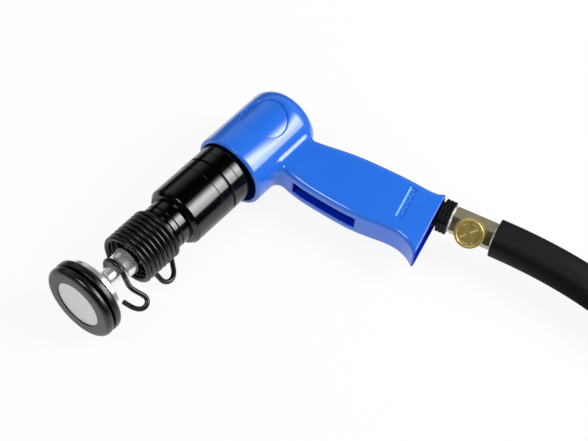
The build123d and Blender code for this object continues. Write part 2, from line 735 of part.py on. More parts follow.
with BuildPart() as regulator_o_ring:
    with BuildSketch(Plane(origin=stem_plane.origin, x_dir=stem_plane.x_dir, z_dir=stem_plane.y_dir)):
        with Locations((stem_fit + O_RING_WIRE, -(face_height - O_RING_WIRE))):
            Circle(O_RING_WIRE)
    revolve(axis=Axis(stem_plane.origin, stem_plane.z_dir))
save(regulator_o_ring, "regulator_o_ring")

with BuildPart() as regulator_gland:
    add(rod(stem_plane, face_height, gland_top, ring_pocket))
    add(rod(stem_plane, face_height, gland_top, stem_fit), mode=Mode.SUBTRACT)
save(regulator_gland, "regulator_gland")

with BuildPart() as regulator_stem:
    add(rod(stem_plane, BODY_BORE - STEM_REACH, knob_base + KNOB_LENGTH / 2, STEM_RADIUS))
save(regulator_stem, "regulator_stem")

with BuildPart() as regulator_knob:
    add(rod(stem_plane, knob_base, knob_base + KNOB_LENGTH, KNOB_RADIUS))
    chamfer(regulator_knob.edges().filter_by(GeomType.CIRCLE), 2 * FINE_BREAK)
    knob_top = knob_base + KNOB_LENGTH
    add(rod(stem_plane, knob_top - KNOB_SINK, knob_top, KNOB_RADIUS - KNOB_RIM), mode=Mode.SUBTRACT)
    add(rod(stem_plane, knob_base, knob_base + KNOB_LENGTH / 2, STEM_RADIUS), mode=Mode.SUBTRACT)
save(regulator_knob, "regulator_knob")

# Hose washer and barb
with BuildPart() as hose_washer:
    add(rod(axis_plane, body_end, body_end + HOSE_WASHER_LENGTH, HOSE_WASHER_RADIUS))
    add(rod(axis_plane, body_end, body_end + HOSE_WASHER_LENGTH, SPIGOT_RADIUS), mode=Mode.SUBTRACT)
save(hose_washer, "hose_washer")


def barb_profile(start, radius, teeth, tooth):
    """Saw-tooth outline of a barb, as (distance, radius) pairs from its thick end."""
    points = []
    for tooth_index in range(teeth):
        points.append((start + tooth_index * tooth, radius))
        points.append((start + (tooth_index + 1) * tooth, radius - BARB_STEP))
    return points


def turned_on(origin, heading, points):
    """Solid of revolution about any axis from (distance, radius) points."""
    side = Vector(0, 0, 1).cross(heading).normalized()
    frame = Plane(origin=origin, x_dir=heading, z_dir=heading.cross(side))
    with BuildPart() as solid:
        with BuildSketch(frame):
            with BuildLine():
                Polyline(*points, close=True)
            make_face()
        revolve(axis=Axis(origin, heading))
    return solid.part


barb_start = body_end + HOSE_WASHER_LENGTH
spigot_start = body_end - SPIGOT_LENGTH + STOP_GAP
barb_radius = HOSE_BORE - SEATED
with BuildPart() as hose_barb:
    add(
        turned_on(
            root,
            along,
            [
                (spigot_start, BARB_BORE),
                (spigot_start, SPIGOT_RADIUS - SEATED),
                (barb_start, SPIGOT_RADIUS - SEATED),
            ]
            + barb_profile(barb_start, barb_radius, BARB_TEETH, BARB_TOOTH)
            + [(barb_start + BARB_TEETH * BARB_TOOTH, BARB_BORE)],
        )
    )
save(hose_barb, "hose_barb")

# Hose: straight out of the barb, down to the bench and round in a wide bend, its far end up on the ferrule
bench = -ring_radius
hose_points = [root + along * hose_start, root + along * (hose_start + HOSE_STRAIGHT)]
for heading, run in zip(HOSE_HEADINGS, HOSE_RUNS):
    here = hose_points[-1] + Vector(sin(radians(heading)), cos(radians(heading)), 0) * run
    hose_points.append(Vector(here.X, here.Y, bench + HOSE_RADIUS))
hose_points[-1].Z = bench + FERRULE_RADIUS
bends = []
for before, corner, after in zip(hose_points, hose_points[1:], hose_points[2:]):
    half_turn = (corner - before).get_angle(after - corner) / 2
    shorter = min((corner - before).length, (after - corner).length)
    bends.append(BEND_SHARE * shorter / tan(radians(half_turn)))
with BuildPart() as air_hose:
    with BuildLine() as hose_line:
        FilletPolyline(*hose_points, radius=bends)
    with BuildSketch(grip_plane(hose_start)):
        Circle(HOSE_RADIUS)
        Circle(HOSE_BORE, mode=Mode.SUBTRACT)
    sweep(path=hose_line.wires()[0])
save(air_hose, "air_hose")
print(f"hose: {hose_line.wires()[0].length:.1f} mm long, bend radii", [round(radius) for radius in bends])

# Crimped ferrule and quick-connect plug on the far end
hose_end = hose_points[-1]
out_of_hose = (hose_points[-1] - hose_points[-2]).normalized()
grip_depth = FERRULE_LENGTH - FERRULE_WALL
crimps = []
for band in range(CRIMPS):
    start = -grip_depth + CRIMP_START + CRIMP_PITCH * band
    end = start + CRIMP_WIDTH
    crimps += [(start, FERRULE_RADIUS), (start + CRIMP_DEPTH, FERRULE_RADIUS - CRIMP_DEPTH)]
    crimps += [(end - CRIMP_DEPTH, FERRULE_RADIUS - CRIMP_DEPTH), (end, FERRULE_RADIUS)]
with BuildPart() as hose_ferrule:
    add(
        turned_on(
            hose_end,
            out_of_hose,
            [(-grip_depth, HOSE_RADIUS + SEATED), (-grip_depth, FERRULE_RADIUS)]
            + crimps
            + [
                (FERRULE_WALL - EDGE_BREAK, FERRULE_RADIUS),
                (FERRULE_WALL, FERRULE_RADIUS - EDGE_BREAK),
                (FERRULE_WALL, HOSE_BORE + SEATED),
                (SEATED, HOSE_BORE + SEATED),
                (SEATED, HOSE_RADIUS + SEATED),
            ],
        )
    )
save(hose_ferrule, "hose_ferrule")

with BuildPart() as hose_plug:
    teeth = [(-d, r) for d, r in reversed(barb_profile(0, barb_radius, BARB_TEETH, BARB_TOOTH))]
    hex_start, hex_end = FERRULE_WALL, FERRULE_WALL + PLUG_HEX
    neck_end = hex_end + PLUG_NECK_LENGTH
    collar_end = neck_end + PLUG_COLLAR_LENGTH
    nose_start = collar_end + PLUG_TAPER
    nose_end = nose_start + PLUG_NOSE_LENGTH
    add(
        turned_on(
            hose_end,
            out_of_hose,
            [(-BARB_TEETH * BARB_TOOTH, BARB_BORE)]
            + teeth
            + [
                (hex_end, barb_radius),
                (hex_end, PLUG_COLLAR - PLUG_NECK_DEPTH),
                (neck_end, PLUG_COLLAR - PLUG_NECK_DEPTH),
                (neck_end + PLUG_NECK_DEPTH, PLUG_COLLAR),
                (collar_end, PLUG_COLLAR),
                (nose_start, PLUG_NOSE),
                (nose_end - EDGE_BREAK, PLUG_NOSE),
                (nose_end, PLUG_NOSE - EDGE_BREAK),
                (nose_end, BARB_BORE),
            ],
        )
    )
    plug_plane = Plane(origin=hose_end, x_dir=(0, 0, 1), z_dir=out_of_hose)
    add(hexagon(plug_plane, hex_start, hex_end, PLUG_FLATS, 0))
    add(rod(plug_plane, hex_start, hex_end, BARB_BORE), mode=Mode.SUBTRACT)
save(hose_plug, "hose_plug")
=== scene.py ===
"""Looks, light and camera of a pistol-grip pneumatic forming hammer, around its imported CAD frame.

The tool lies on its right side. X runs forward along the barrel with the steel working face at zero, Y runs
towards the foot of the grip and Z points up, to the tool's left side. Lengths are metres, unless a docstring
says millimetres.
"""
from __future__ import annotations

import json
import logging
import math
from abc import ABC, abstractmethod
from contextlib import contextmanager
from dataclasses import dataclass
from enum import Enum
from typing import Callable, Iterator, Mapping, Sequence, Union

import bmesh
import bpy
from mathutils import Matrix, Vector

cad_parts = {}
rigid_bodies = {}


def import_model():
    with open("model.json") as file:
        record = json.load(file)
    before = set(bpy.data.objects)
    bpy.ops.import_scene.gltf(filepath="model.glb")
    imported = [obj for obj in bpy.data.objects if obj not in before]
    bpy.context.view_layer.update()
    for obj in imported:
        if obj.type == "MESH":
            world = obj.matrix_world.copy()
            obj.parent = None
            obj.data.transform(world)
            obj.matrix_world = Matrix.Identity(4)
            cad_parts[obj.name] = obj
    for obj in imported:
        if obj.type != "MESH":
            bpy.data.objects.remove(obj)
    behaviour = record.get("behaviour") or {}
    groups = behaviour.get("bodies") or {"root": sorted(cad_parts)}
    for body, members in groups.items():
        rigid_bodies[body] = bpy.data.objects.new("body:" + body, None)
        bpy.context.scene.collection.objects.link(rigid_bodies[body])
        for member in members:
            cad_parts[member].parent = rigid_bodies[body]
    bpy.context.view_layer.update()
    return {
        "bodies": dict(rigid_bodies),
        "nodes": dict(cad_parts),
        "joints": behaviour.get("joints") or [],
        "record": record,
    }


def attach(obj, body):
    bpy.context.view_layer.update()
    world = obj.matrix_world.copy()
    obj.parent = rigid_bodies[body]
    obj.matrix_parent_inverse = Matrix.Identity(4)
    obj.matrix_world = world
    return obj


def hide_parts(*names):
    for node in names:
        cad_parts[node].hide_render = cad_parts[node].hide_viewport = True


LOG = logging.getLogger("forming_hammer")
MM = 0.001
IMAGE_WIDTH = 588
FLOOR_HEIGHT = -24.0 * MM
KNOB_ANGLE = math.radians(38.7)
CAD_WELD = 0.002 * MM
WIRE_WELD = 0.001 * MM
MIX_SHARE, MIX_FIRST, MIX_SECOND, MIX_RESULT = 0, 6, 7, 2

Colour = tuple[float, float, float]
Point = tuple[float, float, float]
Pair = tuple[float, float]
Line = tuple[Pair, ...]
Frame = Mapping[str, Mapping]
Socket = bpy.types.NodeSocket

WHITE: Colour = (1.0, 1.0, 1.0)


class Body(str, Enum):
    """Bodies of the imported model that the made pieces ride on."""

    HOUSING = "housing"
    FORMING_SET = "forming_set"
    KNOB = "regulator_knob"


class Slot(str, Enum):
    """Material slots of the record."""

    HOUSING_BLUE = "housing_blue"
    BLACK_STEEL = "black_steel"
    SPRING_BLACK = "spring_black"
    BRIGHT_STEEL = "bright_steel"
    HARD_STEEL = "hard_steel"
    GUARD_RUBBER = "guard_rubber"
    HOSE_RUBBER = "hose_rubber"
    SEAL_RUBBER = "seal_rubber"
    BRASS = "brass"
    WHITE_SEAL = "white_seal"
    GASKET_FIBRE = "gasket_fibre"
    PLATED_STEEL = "plated_steel"


@dataclass(frozen=True)
class GripLine:
    """The middle line of the grip: where it starts, in millimetres, and how far it leans, in radians."""

    root: Point = (-158.5, 0.0, 0.0)
    lean: float = math.radians(15.0)

    @property
    def along(self) -> Vector:
        """Direction towards the foot."""
        return Vector((-math.sin(self.lean), math.cos(self.lean), 0.0))

    @property
    def ahead(self) -> Vector:
        """Direction towards the front of the grip."""
        return Vector((math.cos(self.lean), math.sin(self.lean), 0.0))

    def point(self, distance: float) -> Vector:
        """Point on the line, a distance in millimetres from its start, in metres."""
        return (Vector(self.root) + self.along * distance) * MM

    def reach(self, x: Term, y: Term, way: Vector) -> Term:
        """Distance of a shaded place from the line's start.

        Args:
            x: First part of the place.
            y: Second part of the place.
            way: Direction in which it is measured.

        Returns:
            The distance in metres.
        """
        root = Vector(self.root) * MM
        return x * way.x + y * way.y - (way.x * root.x + way.y * root.y)


GRIP_LINE = GripLine()


@contextmanager
def opened(mesh: bpy.types.Mesh) -> Iterator[bmesh.types.BMesh]:
    """Opens a mesh for changes and writes them back.

    Args:
        mesh: The mesh.

    Yields:
        Its points, edges and faces.
    """
    held = bmesh.new()
    held.from_mesh(mesh)
    yield held
    held.to_mesh(mesh)
    held.free()


def add_rings(mesh: bmesh.types.BMesh, rings: Sequence[Sequence[Vector]], endless: bool = False) -> None:
    """Adds a skin over rings of points.

    Args:
        mesh: The mesh that is added to.
        rings: Rings with equal numbers of points, in order.
        endless: Whether the last ring is joined to the first; if not, both ends are covered.
    """
    rows = [[mesh.verts.new(point) for point in ring] for ring in rings]
    skin = []
    for first, second in zip(rows, rows[1:] + rows[:1] if endless else rows[1:]):
        for index in range(len(first)):
            after = (index + 1) % len(first)
            skin.append(mesh.faces.new((first[index], first[after], second[after], second[index])))
    if not endless:
        skin += [mesh.faces.new(rows[0]), mesh.faces.new(rows[-1])]
    bmesh.ops.recalc_face_normals(mesh, faces=skin)


@dataclass(frozen=True)
class Ridge:
    """A low raised bar along a line on a flat field, in millimetres of the field's frame."""

    line: Line
    half_width: float
    height: float
    root: float = 0.1
    top_share: float = 0.55

    def add(self, mesh: bmesh.types.BMesh, field_place: Matrix) -> None:
        """Adds the bar to a mesh.

        Args:
            mesh: The mesh that is added to.
            field_place: Frame of the field, with its z outwards.
        """
        half, top = self.half_width, self.top_share * self.half_width
        section = ((half, -self.root), (top, self.height), (-top, self.height), (-half, -self.root))
        points = [Vector(point) for point in self.line]
        rings = []
        for index, point in enumerate(points):
            ahead = (points[min(index + 1, len(points) - 1)] - points[max(index - 1, 0)]).normalized()
            side = Vector((-ahead.y, ahead.x))
            rings.append(
                [field_place @ (Vector((*(point + side * out), rise)) * MM) for out, rise in section]
            )
        add_rings(mesh, rings)


def field_frame(origin: Vector, across: Vector, outwards: Vector) -> Matrix:
    """Frame of a flat field.

    Args:
        origin: Its middle, in metres.
        across: Its x direction.
        outwards: Its z direction.

    Returns:
        The frame.
    """
    across, outwards = across.normalized(), outwards.normalized()
    turn = Matrix((across, outwards.cross(across), outwards)).transposed()
    return Matrix.Translation(origin) @ turn.to_4x4()


@dataclass(frozen=True)
class SideStrip:
    """The long sunk field on the grip's side, in millimetres, with a few plain raised marks."""

    place: float = 96.0
    ahead: float = 9.0
    height: float = 11.0
    tilt: Pair = (37.1, -1.5)
    half: Pair = (11.5, 2.3)
    margin: float = 0.02
    floor: float = -1.25
    edge_rise: float = 0.42
    slope: float = 0.9
    slope_share: float = 0.8
    mark_half: float = 0.34
    mark_height: float = 0.30
    marks: tuple[Line, ...] = (
        ((-9.4, -0.6), (-9.4, 0.5)),
        ((-7.8, 1.1), (-6.4, 1.1)),
        ((-4.9, -0.6), (-4.9, 1.2)),
        ((-3.0, 0.9), (-1.4, 0.9)),
        ((0.2, -0.6), (0.2, 0.6)),
        ((2.0, 1.1), (3.6, 1.1)),
        ((5.4, -0.6), (5.4, 1.2)),
        ((7.2, 1.1), (8.8, 1.1)),
    )

    def frame(self) -> Matrix:
        """Frame of the field, with its x across the grip and its y towards the foot."""
        across = GRIP_LINE.ahead * self.tilt[0] + Vector((0.0, 0.0, self.tilt[1]))
        middle = GRIP_LINE.point(self.place) + GRIP_LINE.ahead * (self.ahead * MM)
        middle.z += self.height * MM
        return field_frame(middle, across, across.cross(GRIP_LINE.along))

    def sink(self, mesh: bpy.types.Mesh) -> None:
        """Turns the strip's low block into a sunk field with raised marks.

        Args:
            mesh: The casting's mesh.
        """
        place = self.frame()
        inverse = place.inverted()
        wide, narrow = (part + self.margin for part in self.half)
        floor = place @ Matrix.Translation((0.0, 0.0, self.floor * MM))
        with opened(mesh) as sunk:
            for vert in sunk.verts:
                across, along, rise = inverse @ vert.co / MM
                if abs(across) < wide and abs(along) < narrow and abs(rise) < self.edge_rise:
                    if along < -self.slope_share * self.half[1]:
                        along += self.slope
                    vert.co = place @ (Vector((across, along, self.floor - rise)) * MM)
            for line in self.marks:
                Ridge(line, self.mark_half, self.mark_height).add(sunk, floor)


SIDE_STRIP = SideStrip()


@dataclass(frozen=True)
class Term:
    """A shader socket that adds Math nodes when it is used in an expression."""

    graph: Graph
    socket: Socket

    def __add__(self, other: Number) -> Term:
        """Sum of two values."""
        return self.graph.maths("ADD", self, other)

    def __sub__(self, other: Number) -> Term:
        """Difference of two values."""
        return self.graph.maths("SUBTRACT", self, other)

    def __rsub__(self, other: Number) -> Term:
        """Difference with the value on the right."""
        return self.graph.maths("SUBTRACT", other, self)

    def __mul__(self, other: Number) -> Term:
        """Product of two values."""
        return self.graph.maths("MULTIPLY", self, other)

    def __pow__(self, other: Number) -> Term:
        """Power of a value."""
        return self.graph.maths("POWER", self, other)

    def __abs__(self) -> Term:
        """Value without its sign."""
        return self.graph.maths("ABSOLUTE", self)

    __radd__ = __add__
    __rmul__ = __mul__


Number = Union[float, Term]
Input = Union[float, Sequence[float], Term, Socket]


class Graph:
    """Node tree of one material, lamp or world, emptied first."""

    def __init__(self, tree: bpy.types.NodeTree) -> None:
        """Takes over a tree and removes what it holds."""
        self.tree = tree
        tree.nodes.clear()

    def node(
        self, kind: str, inputs: Mapping[Union[str, int], Input] | None = None, **settings: str
    ) -> bpy.types.Node:
        """Adds a node.

        Args:
            kind: Blender's name of the node's type, without the ShaderNode before it.
            inputs: Values or links of its sockets, by name or number.
            settings: The node's own settings.

        Returns:
            The node.
        """
        made = self.tree.nodes.new(f"ShaderNode{kind}")
        for name, value in settings.items():
            setattr(made, name, value)
        for name, value in (inputs or {}).items():
            self.feed(made.inputs[name], value)
        return made

    def feed(self, socket: Socket, value: Input) -> None:
        """Links a socket, or sets its value.

        Args:
            socket: An input socket.
            value: A term or an output socket to link, or a plain value.
        """
        if isinstance(value, Term):
            value = value.socket
        if isinstance(value, Socket):
            self.tree.links.new(value, socket)
        elif socket.type == "RGBA" and len(value) == 3:
            socket.default_value = (*value, 1.0)
        else:
            socket.default_value = value

    def maths(self, operation: str, *values: Number) -> Term:
        """Adds a Math node.

        Args:
            operation: Blender's name of the operation.
            values: Its inputs, in order.

        Returns:
            Its result.
        """
        return Term(self, self.node("Math", dict(enumerate(values)), operation=operation).outputs[0])

    def between(self, value: Number, low: float, high: float) -> Term:
        """Share of the way from one value to another, eased and kept from 0 to 1.

        Args:
            value: The value to place.
            low: Where the share is 0.
            high: Where the share is 1.

        Returns:
            The share.
        """
        inputs = {"Value": value, "From Min": low, "From Max": high}
        return Term(self, self.node("MapRange", inputs, interpolation_type="SMOOTHSTEP").outputs["Result"])

    def place(self) -> Socket:
        """Object coordinates."""
        return self.node("TexCoord").outputs["Object"]

    def parts(self, vector: Socket) -> tuple[Term, Term, Term]:
        """The three parts of a vector."""
        return tuple(Term(self, output) for output in self.node("SeparateXYZ", {"Vector": vector}).outputs)

    def blend(self, share: Number, first: Input, second: Input) -> Socket:
        """Mix of two colours.

        Args:
            share: How much of the second one there is.
            first: A colour or a link to one.
            second: A colour or a link to one.

        Returns:
            The mixed colour.
        """
        inputs = {MIX_SHARE: share, MIX_FIRST: first, MIX_SECOND: second}
        return self.node("Mix", inputs, data_type="RGBA").outputs[MIX_RESULT]

    def surface(self, inputs: Mapping[str, Input]) -> Socket:
        """Principled shader with these inputs."""
        return self.node("BsdfPrincipled", inputs).outputs["BSDF"]

    def white(self, kind: str, strength: Number) -> Socket:
        """White light from a kind of node, with a strength."""
        return self.node(kind, {"Color": WHITE, "Strength": strength}).outputs[0]


def shade(owner: bpy.types.ID, shader: Callable[[Graph], Socket]) -> None:
    """Gives a material, lamp or world a node tree of its own.

    Args:
        owner: What is shaded.
        shader: Adds the nodes to a graph and returns their shader.
    """
    owner.use_nodes = True
    graph = Graph(owner.node_tree)
    graph.node(f"Output{owner.id_type.title()}", {"Surface": shader(graph)})


@dataclass(frozen=True)
class Grain:
    """A noise on a surface: fineness, layers, how much it roughens, and its bumps' depth and strength."""

    scale: float
    detail: float = 3.0
    roughening: float = 0.0
    depth: float = 0.0
    strength: float = 0.0
    stretch: Point | None = None
    turn: float = 0.0

    def noise(self, graph: Graph, place: Socket | None = None) -> Term:
        """Adds the noise.

        Args:
            graph: The graph that is added to.
            place: Where it is read, if not at object coordinates. A stretched noise turns them about Z first.

        Returns:
            The noise, from 0 to 1.
        """
        if place is None:
            place = graph.place()
        if self.stretch is not None:
            inputs = {"Vector": place, "Rotation": (0.0, 0.0, self.turn)}
            place = graph.node("VectorRotate", inputs, rotation_type="EULER_XYZ").outputs["Vector"]
            inputs = {0: place, 1: self.stretch}
            place = graph.node("VectorMath", inputs, operation="MULTIPLY").outputs["Vector"]
        inputs = {"Vector": place, "Scale": self.scale, "Detail": self.detail}
        return Term(graph, graph.node("TexNoise", inputs).outputs["Fac"])

    def bump(self, graph: Graph, height: Term) -> Socket:
        """Normal that shows heights from 0 to 1 as the noise's bumps."""
        inputs = {"Height": height, "Distance": self.depth, "Strength": self.strength}
        return graph.node("Bump", inputs).outputs["Normal"]


def shades(colour: Colour, share: float) -> tuple[Colour, Colour]:
    """A colour, and the colour made lighter or darker by a share."""
    return colour, tuple(share * part for part in colour)


@dataclass(frozen=True)
class Finish(ABC):
    """A finish of one or more pieces, made as a node material."""

    name: str
    slot: Slot

    def make(self) -> bpy.types.Material:
        """Makes the material.

        Returns:
            The material, or the one that was made before.
        """
        made = bpy.data.materials.get(self.name)
        if made is None:
            made = bpy.data.materials.new(self.name)
            shade(made, self.shader)
        return made

    @abstractmethod
    def shader(self, graph: Graph) -> Socket:
        """Adds the finish's nodes and returns its shader."""


@dataclass(frozen=True)
class Mottled(Finish):
    """A plain finish of two tones, with noises that roughen it; the first one also mixes the tones."""

    tones: tuple[Colour, Colour]
    roughness: float
    grains: tuple[Grain, ...]
    trait: tuple[str, float] = ("Metallic", 0.0)
    span: Pair | None = None

    def shader(self, graph: Graph) -> Socket:
        """Adds the finish's nodes and returns its shader."""
        noises = [grain.noise(graph) for grain in self.grains]
        share = graph.between(noises[0], *self.span) if self.span else noises[0]
        inputs = {"Base Color": graph.blend(share, *self.tones), self.trait[0]: self.trait[1]}
        rough = self.roughness
        for grain, noise in zip(self.grains, noises):
            rough = noise * grain.roughening + rough
            if grain.depth:
                inputs["Normal"] = grain.bump(graph, noise)
        return graph.surface({**inputs, "Roughness": rough})


@dataclass(frozen=True)
class Enamel(Finish):
    """Gloss enamel on a casting, with a faint orange peel, painted shade in the slot and the foot, and a
    painted highlight on the side strip.
    """

    tones: tuple[Colour, Colour] = ((0.0185, 0.138, 0.650), (0.0215, 0.154, 0.715))
    # Painted shade: the dark colour given to the inside of the slot and the foot.
    hollow: Colour = (0.0006, 0.022, 0.420)
    # Painted highlight: the lighter colour of the strip's sloping wall and of the tops of its marks.
    wear_and_painted_highlight: Colour = (0.115, 0.345, 0.95)
    roughness: float = 0.25
    specular: float = 0.15
    coat_ior: float = 1.57
    coat_roughness: float = 0.06
    # The coat is thinned where the strip's highlight is painted.
    highlight_coat_cut: float = 0.8
    cloud: Grain = Grain(55.0, roughening=0.10)
    peel: Grain = Grain(900.0, 1.0, depth=0.012 * MM, strength=0.35)
    slot_half: float = 4.6 * MM
    slot_reach: Pair = (30.0 * MM, 73.8 * MM)
    slot_floor: float = 7.0 * MM
    slot_blurs: Point = (0.5 * MM, 0.6 * MM, 0.3 * MM)
    foot_start: float = 106.0 * MM
    foot_front: Pair = (31.0 * MM, 0.8125)
    foot_back: Pair = (-4.9 * MM, -0.325)
    foot_half: Pair = (8.7 * MM, -0.036)
    foot_blurs: Pair = (1.0 * MM, 0.4 * MM)
    # Where the strip's painted highlight lies.
    highlight_ends: Pair = (0.4 * MM, 0.3 * MM)
    highlight_lip: float = 0.05 * MM
    highlight_wall: Pair = (1.2 * MM, 1.45 * MM)
    highlight_tops: Pair = (0.12 * MM, 0.26 * MM)
    highlight_margin: float = 0.2 * MM

    def strip_highlight_share(self, graph: Graph) -> Term:
        """Share of the painted highlight on the strip: its sloping long wall and the tops of its marks."""
        parts = graph.parts(graph.place())
        turned = SIDE_STRIP.frame().inverted()
        across, along, rise = (
            parts[0] * row[0] + parts[1] * row[1] + parts[2] * row[2] + row[3] for row in turned[:3]
        )
        wide, narrow = (part * MM for part in SIDE_STRIP.half)
        inset, blur = self.highlight_ends
        ends = graph.between(wide - inset - abs(across), 0.0, blur)
        wall = graph.between(along, -narrow - self.highlight_lip, -narrow)
        wall = wall * graph.between(along * -1.0, *self.highlight_wall)
        tops = graph.between(rise, *(SIDE_STRIP.floor * MM + part for part in self.highlight_tops))
        tops = tops * graph.between(narrow - self.highlight_margin - abs(along), 0.0, self.highlight_margin)
        return ends * graph.maths("MAXIMUM", wall, tops)

    def recess_shade_share(self, graph: Graph) -> Term:
        """Share of the painted shade: 1 inside the slot and the foot, 0 on the outside."""
        x, y, z = graph.parts(graph.place())
        far, out = (GRIP_LINE.reach(x, y, way) for way in (GRIP_LINE.along, GRIP_LINE.ahead))
        height = abs(z)
        low, high = self.slot_reach
        ends, floor, sides = self.slot_blurs
        slot = graph.between(far, low, low + ends) * graph.between(high - far, 0.0, ends)
        slot = slot * graph.between(out, self.slot_floor, self.slot_floor + floor)
        slot = slot * graph.between(self.slot_half - height, 0.0, sides)
        down = far - self.foot_start
        front, back = (down * lean + start for start, lean in (self.foot_front, self.foot_back))
        half = out * self.foot_half[1] + self.foot_half[0]
        top, edge = self.foot_blurs
        foot = graph.between(down, 0.0, top)
        for room in (front - out, out - back, half - height):
            foot = foot * graph.between(room, 0.0, edge)
        return graph.maths("MAXIMUM", slot, foot)

    def shader(self, graph: Graph) -> Socket:
        """Adds the finish's nodes and returns its shader."""
        cloud, peel = self.cloud.noise(graph), self.peel.noise(graph)
        # Painted highlight on the side strip, then painted shade inside the slot and the foot; the coat is
        # thinned on the highlight and left off in the shade.
        recess_shade_share, strip_highlight_share = self.recess_shade_share(graph), self.strip_highlight_share(graph)
        paint = graph.blend(strip_highlight_share, graph.blend(cloud, *self.tones), self.wear_and_painted_highlight)
        return graph.surface({
            "Base Color": graph.blend(recess_shade_share, paint, self.hollow),
            "Roughness": cloud * self.cloud.roughening + self.roughness,
            "Specular IOR Level": self.specular,
            "Coat Weight": (1.0 - recess_shade_share) * (1.0 - strip_highlight_share * self.highlight_coat_cut),
            "Coat IOR": self.coat_ior,
            "Coat Roughness": self.coat_roughness,
            "Normal": self.peel.bump(graph, peel),
        })


@dataclass(frozen=True)
class BrightSteel(Finish):
    """Turned and polished steel, with a satin ground face in front and painted shade on the shank behind."""

    colour: Colour = (0.93, 0.93, 0.92)
    face_tones: tuple[Colour, Colour] = shades((0.80, 0.805, 0.79), 0.88)
    # Painted shade: the near-black colour of the shank behind the collar, inside the coil and the barrel.
    painted_shank_shade: Colour = (0.006, 0.006, 0.007)
    polish: float = 0.76
    roughness: float = 0.15
    face_roughness: float = 0.44
    face_depth: float = 0.4 * MM
    shank_start: float = 40.2 * MM
    shank_blur: float = 0.2 * MM
    cloud: Grain = Grain(260.0)
    lines: Grain = Grain(1.0, 3.0, 0.08, 0.003 * MM, 0.5, (3600.0, 9.0, 9.0))
    rings: Grain = Grain(5200.0, 2.0)

    def shader(self, graph: Graph) -> Socket:
        """Adds the finish's nodes and returns its shader."""
        x, y, z = graph.parts(graph.place())
        face = graph.between(x, -2.0 * self.face_depth, -self.face_depth)
        reach = (y * y + z * z) ** 0.5
        rings = self.rings.noise(graph, graph.node("CombineXYZ", {"X": reach}).outputs["Vector"])
        grain = rings * face + self.lines.noise(graph) * (1.0 - face)
        # Painted shade on the shank, from just behind the collar's back.
        shank = graph.between(x * -1.0, self.shank_start, self.shank_start + self.shank_blur)
        side = graph.blend(shank, self.colour, self.painted_shank_shade)
        front = graph.blend(self.cloud.noise(graph), *self.face_tones)
        rough = face * (self.face_roughness - self.roughness) + grain * self.lines.roughening
        return graph.surface({
            "Base Color": graph.blend(face, side, front),
            "Metallic": face * (1.0 - self.polish) + self.polish,
            "Roughness": rough + self.roughness,
            "Normal": self.lines.bump(graph, grain),
        })


@dataclass(frozen=True)
class Brass(Finish):
    """Machined brass, from its tarnished to its clean tone, with fine tool marks and perhaps crests lightened
    by wear.
    """

    tones: tuple[Colour, Colour]
    roughness: float
    polish: float = 1.0
    crest: Colour | None = None
    crest_band: Pair = (13.48 * MM, 13.92 * MM)
    crest_blur: float = 0.1 * MM
    wear: Pair = (0.35, 0.75)
    cloud: Grain = Grain(210.0, 4.0, 0.10)
    lines: Grain = Grain(1.0, 2.0, 0.10, 0.008 * MM, 0.4, (900.0, 5200.0, 900.0), -GRIP_LINE.lean)

    def crests(self, graph: Graph) -> Term:
        """Share of the crests lightened by wear: 1 where the knob's marks stand up, 0 below and on the rim.
        """
        x, y, z = graph.parts(graph.place())
        out = GRIP_LINE.reach(x, y, GRIP_LINE.ahead)
        rise = out * math.cos(KNOB_ANGLE) + z * math.sin(KNOB_ANGLE)
        low, high = self.crest_band
        above = graph.between(rise, low, low + self.crest_blur)
        return above * graph.between(high - rise, 0.0, self.crest_blur)

    def shader(self, graph: Graph) -> Socket:
        """Adds the finish's nodes and returns its shader."""
        wear_and_painted_highlight = graph.between(self.cloud.noise(graph), *self.wear)
        lines = self.lines.noise(graph)
        paint = graph.blend(wear_and_painted_highlight, *self.tones)
        if self.crest is not None:
            paint = graph.blend(self.crests(graph), paint, self.crest)
        rough = lines * self.lines.roughening + (1.0 - wear_and_painted_highlight) * self.cloud.roughening
        return graph.surface({
            "Base Color": paint,
            "Metallic": self.polish,
            "Roughness": rough + self.roughness,
            "Normal": self.lines.bump(graph, lines),
        })


LATHE_GRAINS = (Grain(120.0, roughening=0.04), Grain(1.0, 2.0, 0.05, 0.003 * MM, 0.5, (4200.0, 9.0, 9.0)))
STEEL_GRAINS = (Grain(160.0, roughening=0.08), Grain(2600.0, 2.0, 0.08, 0.006 * MM, 0.4))
RUBBER_CLOUD = Grain(90.0, 4.0, 0.12)
RUBBER_GRAINS = (RUBBER_CLOUD, Grain(2400.0, 2.0, 0.08, 0.02 * MM, 0.35))
RUBBER_TONES = ((0.0016, 0.0016, 0.0017), (0.0036, 0.0036, 0.0038))
PACKING_GRAINS = (Grain(420.0, 4.0, 0.15, 0.02 * MM, 0.3),)
PACKING_SPAN = (0.4, 0.8)
BARE_METAL = ("Metallic", 1.0)

ENAMEL = Enamel("gloss_blue_enamel", Slot.HOUSING_BLUE)
BARREL_STEEL = Mottled(
    "blackened_barrel_steel", Slot.BLACK_STEEL, shades((0.0007, 0.0007, 0.0008), 1.6), 0.08, LATHE_GRAINS,
    ("IOR", 1.57),
)
SPRING_WIRE = Mottled(
    "lacquered_spring_wire", Slot.SPRING_BLACK, shades((0.0006, 0.0006, 0.0007), 1.8), 0.27,
    (Grain(90.0, 1.0, 0.08),), ("IOR", 1.56),
)
SET_STEEL = BrightSteel("polished_set_steel", Slot.BRIGHT_STEEL)
INNER_STEEL = Mottled(
    "hardened_inner_steel", Slot.HARD_STEEL, shades((0.52, 0.52, 0.53), 0.80), 0.18, STEEL_GRAINS, BARE_METAL
)
PLATED_STEEL = Mottled(
    "plated_hose_steel", Slot.PLATED_STEEL, shades((0.62, 0.61, 0.58), 0.80), 0.14, STEEL_GRAINS, BARE_METAL
)
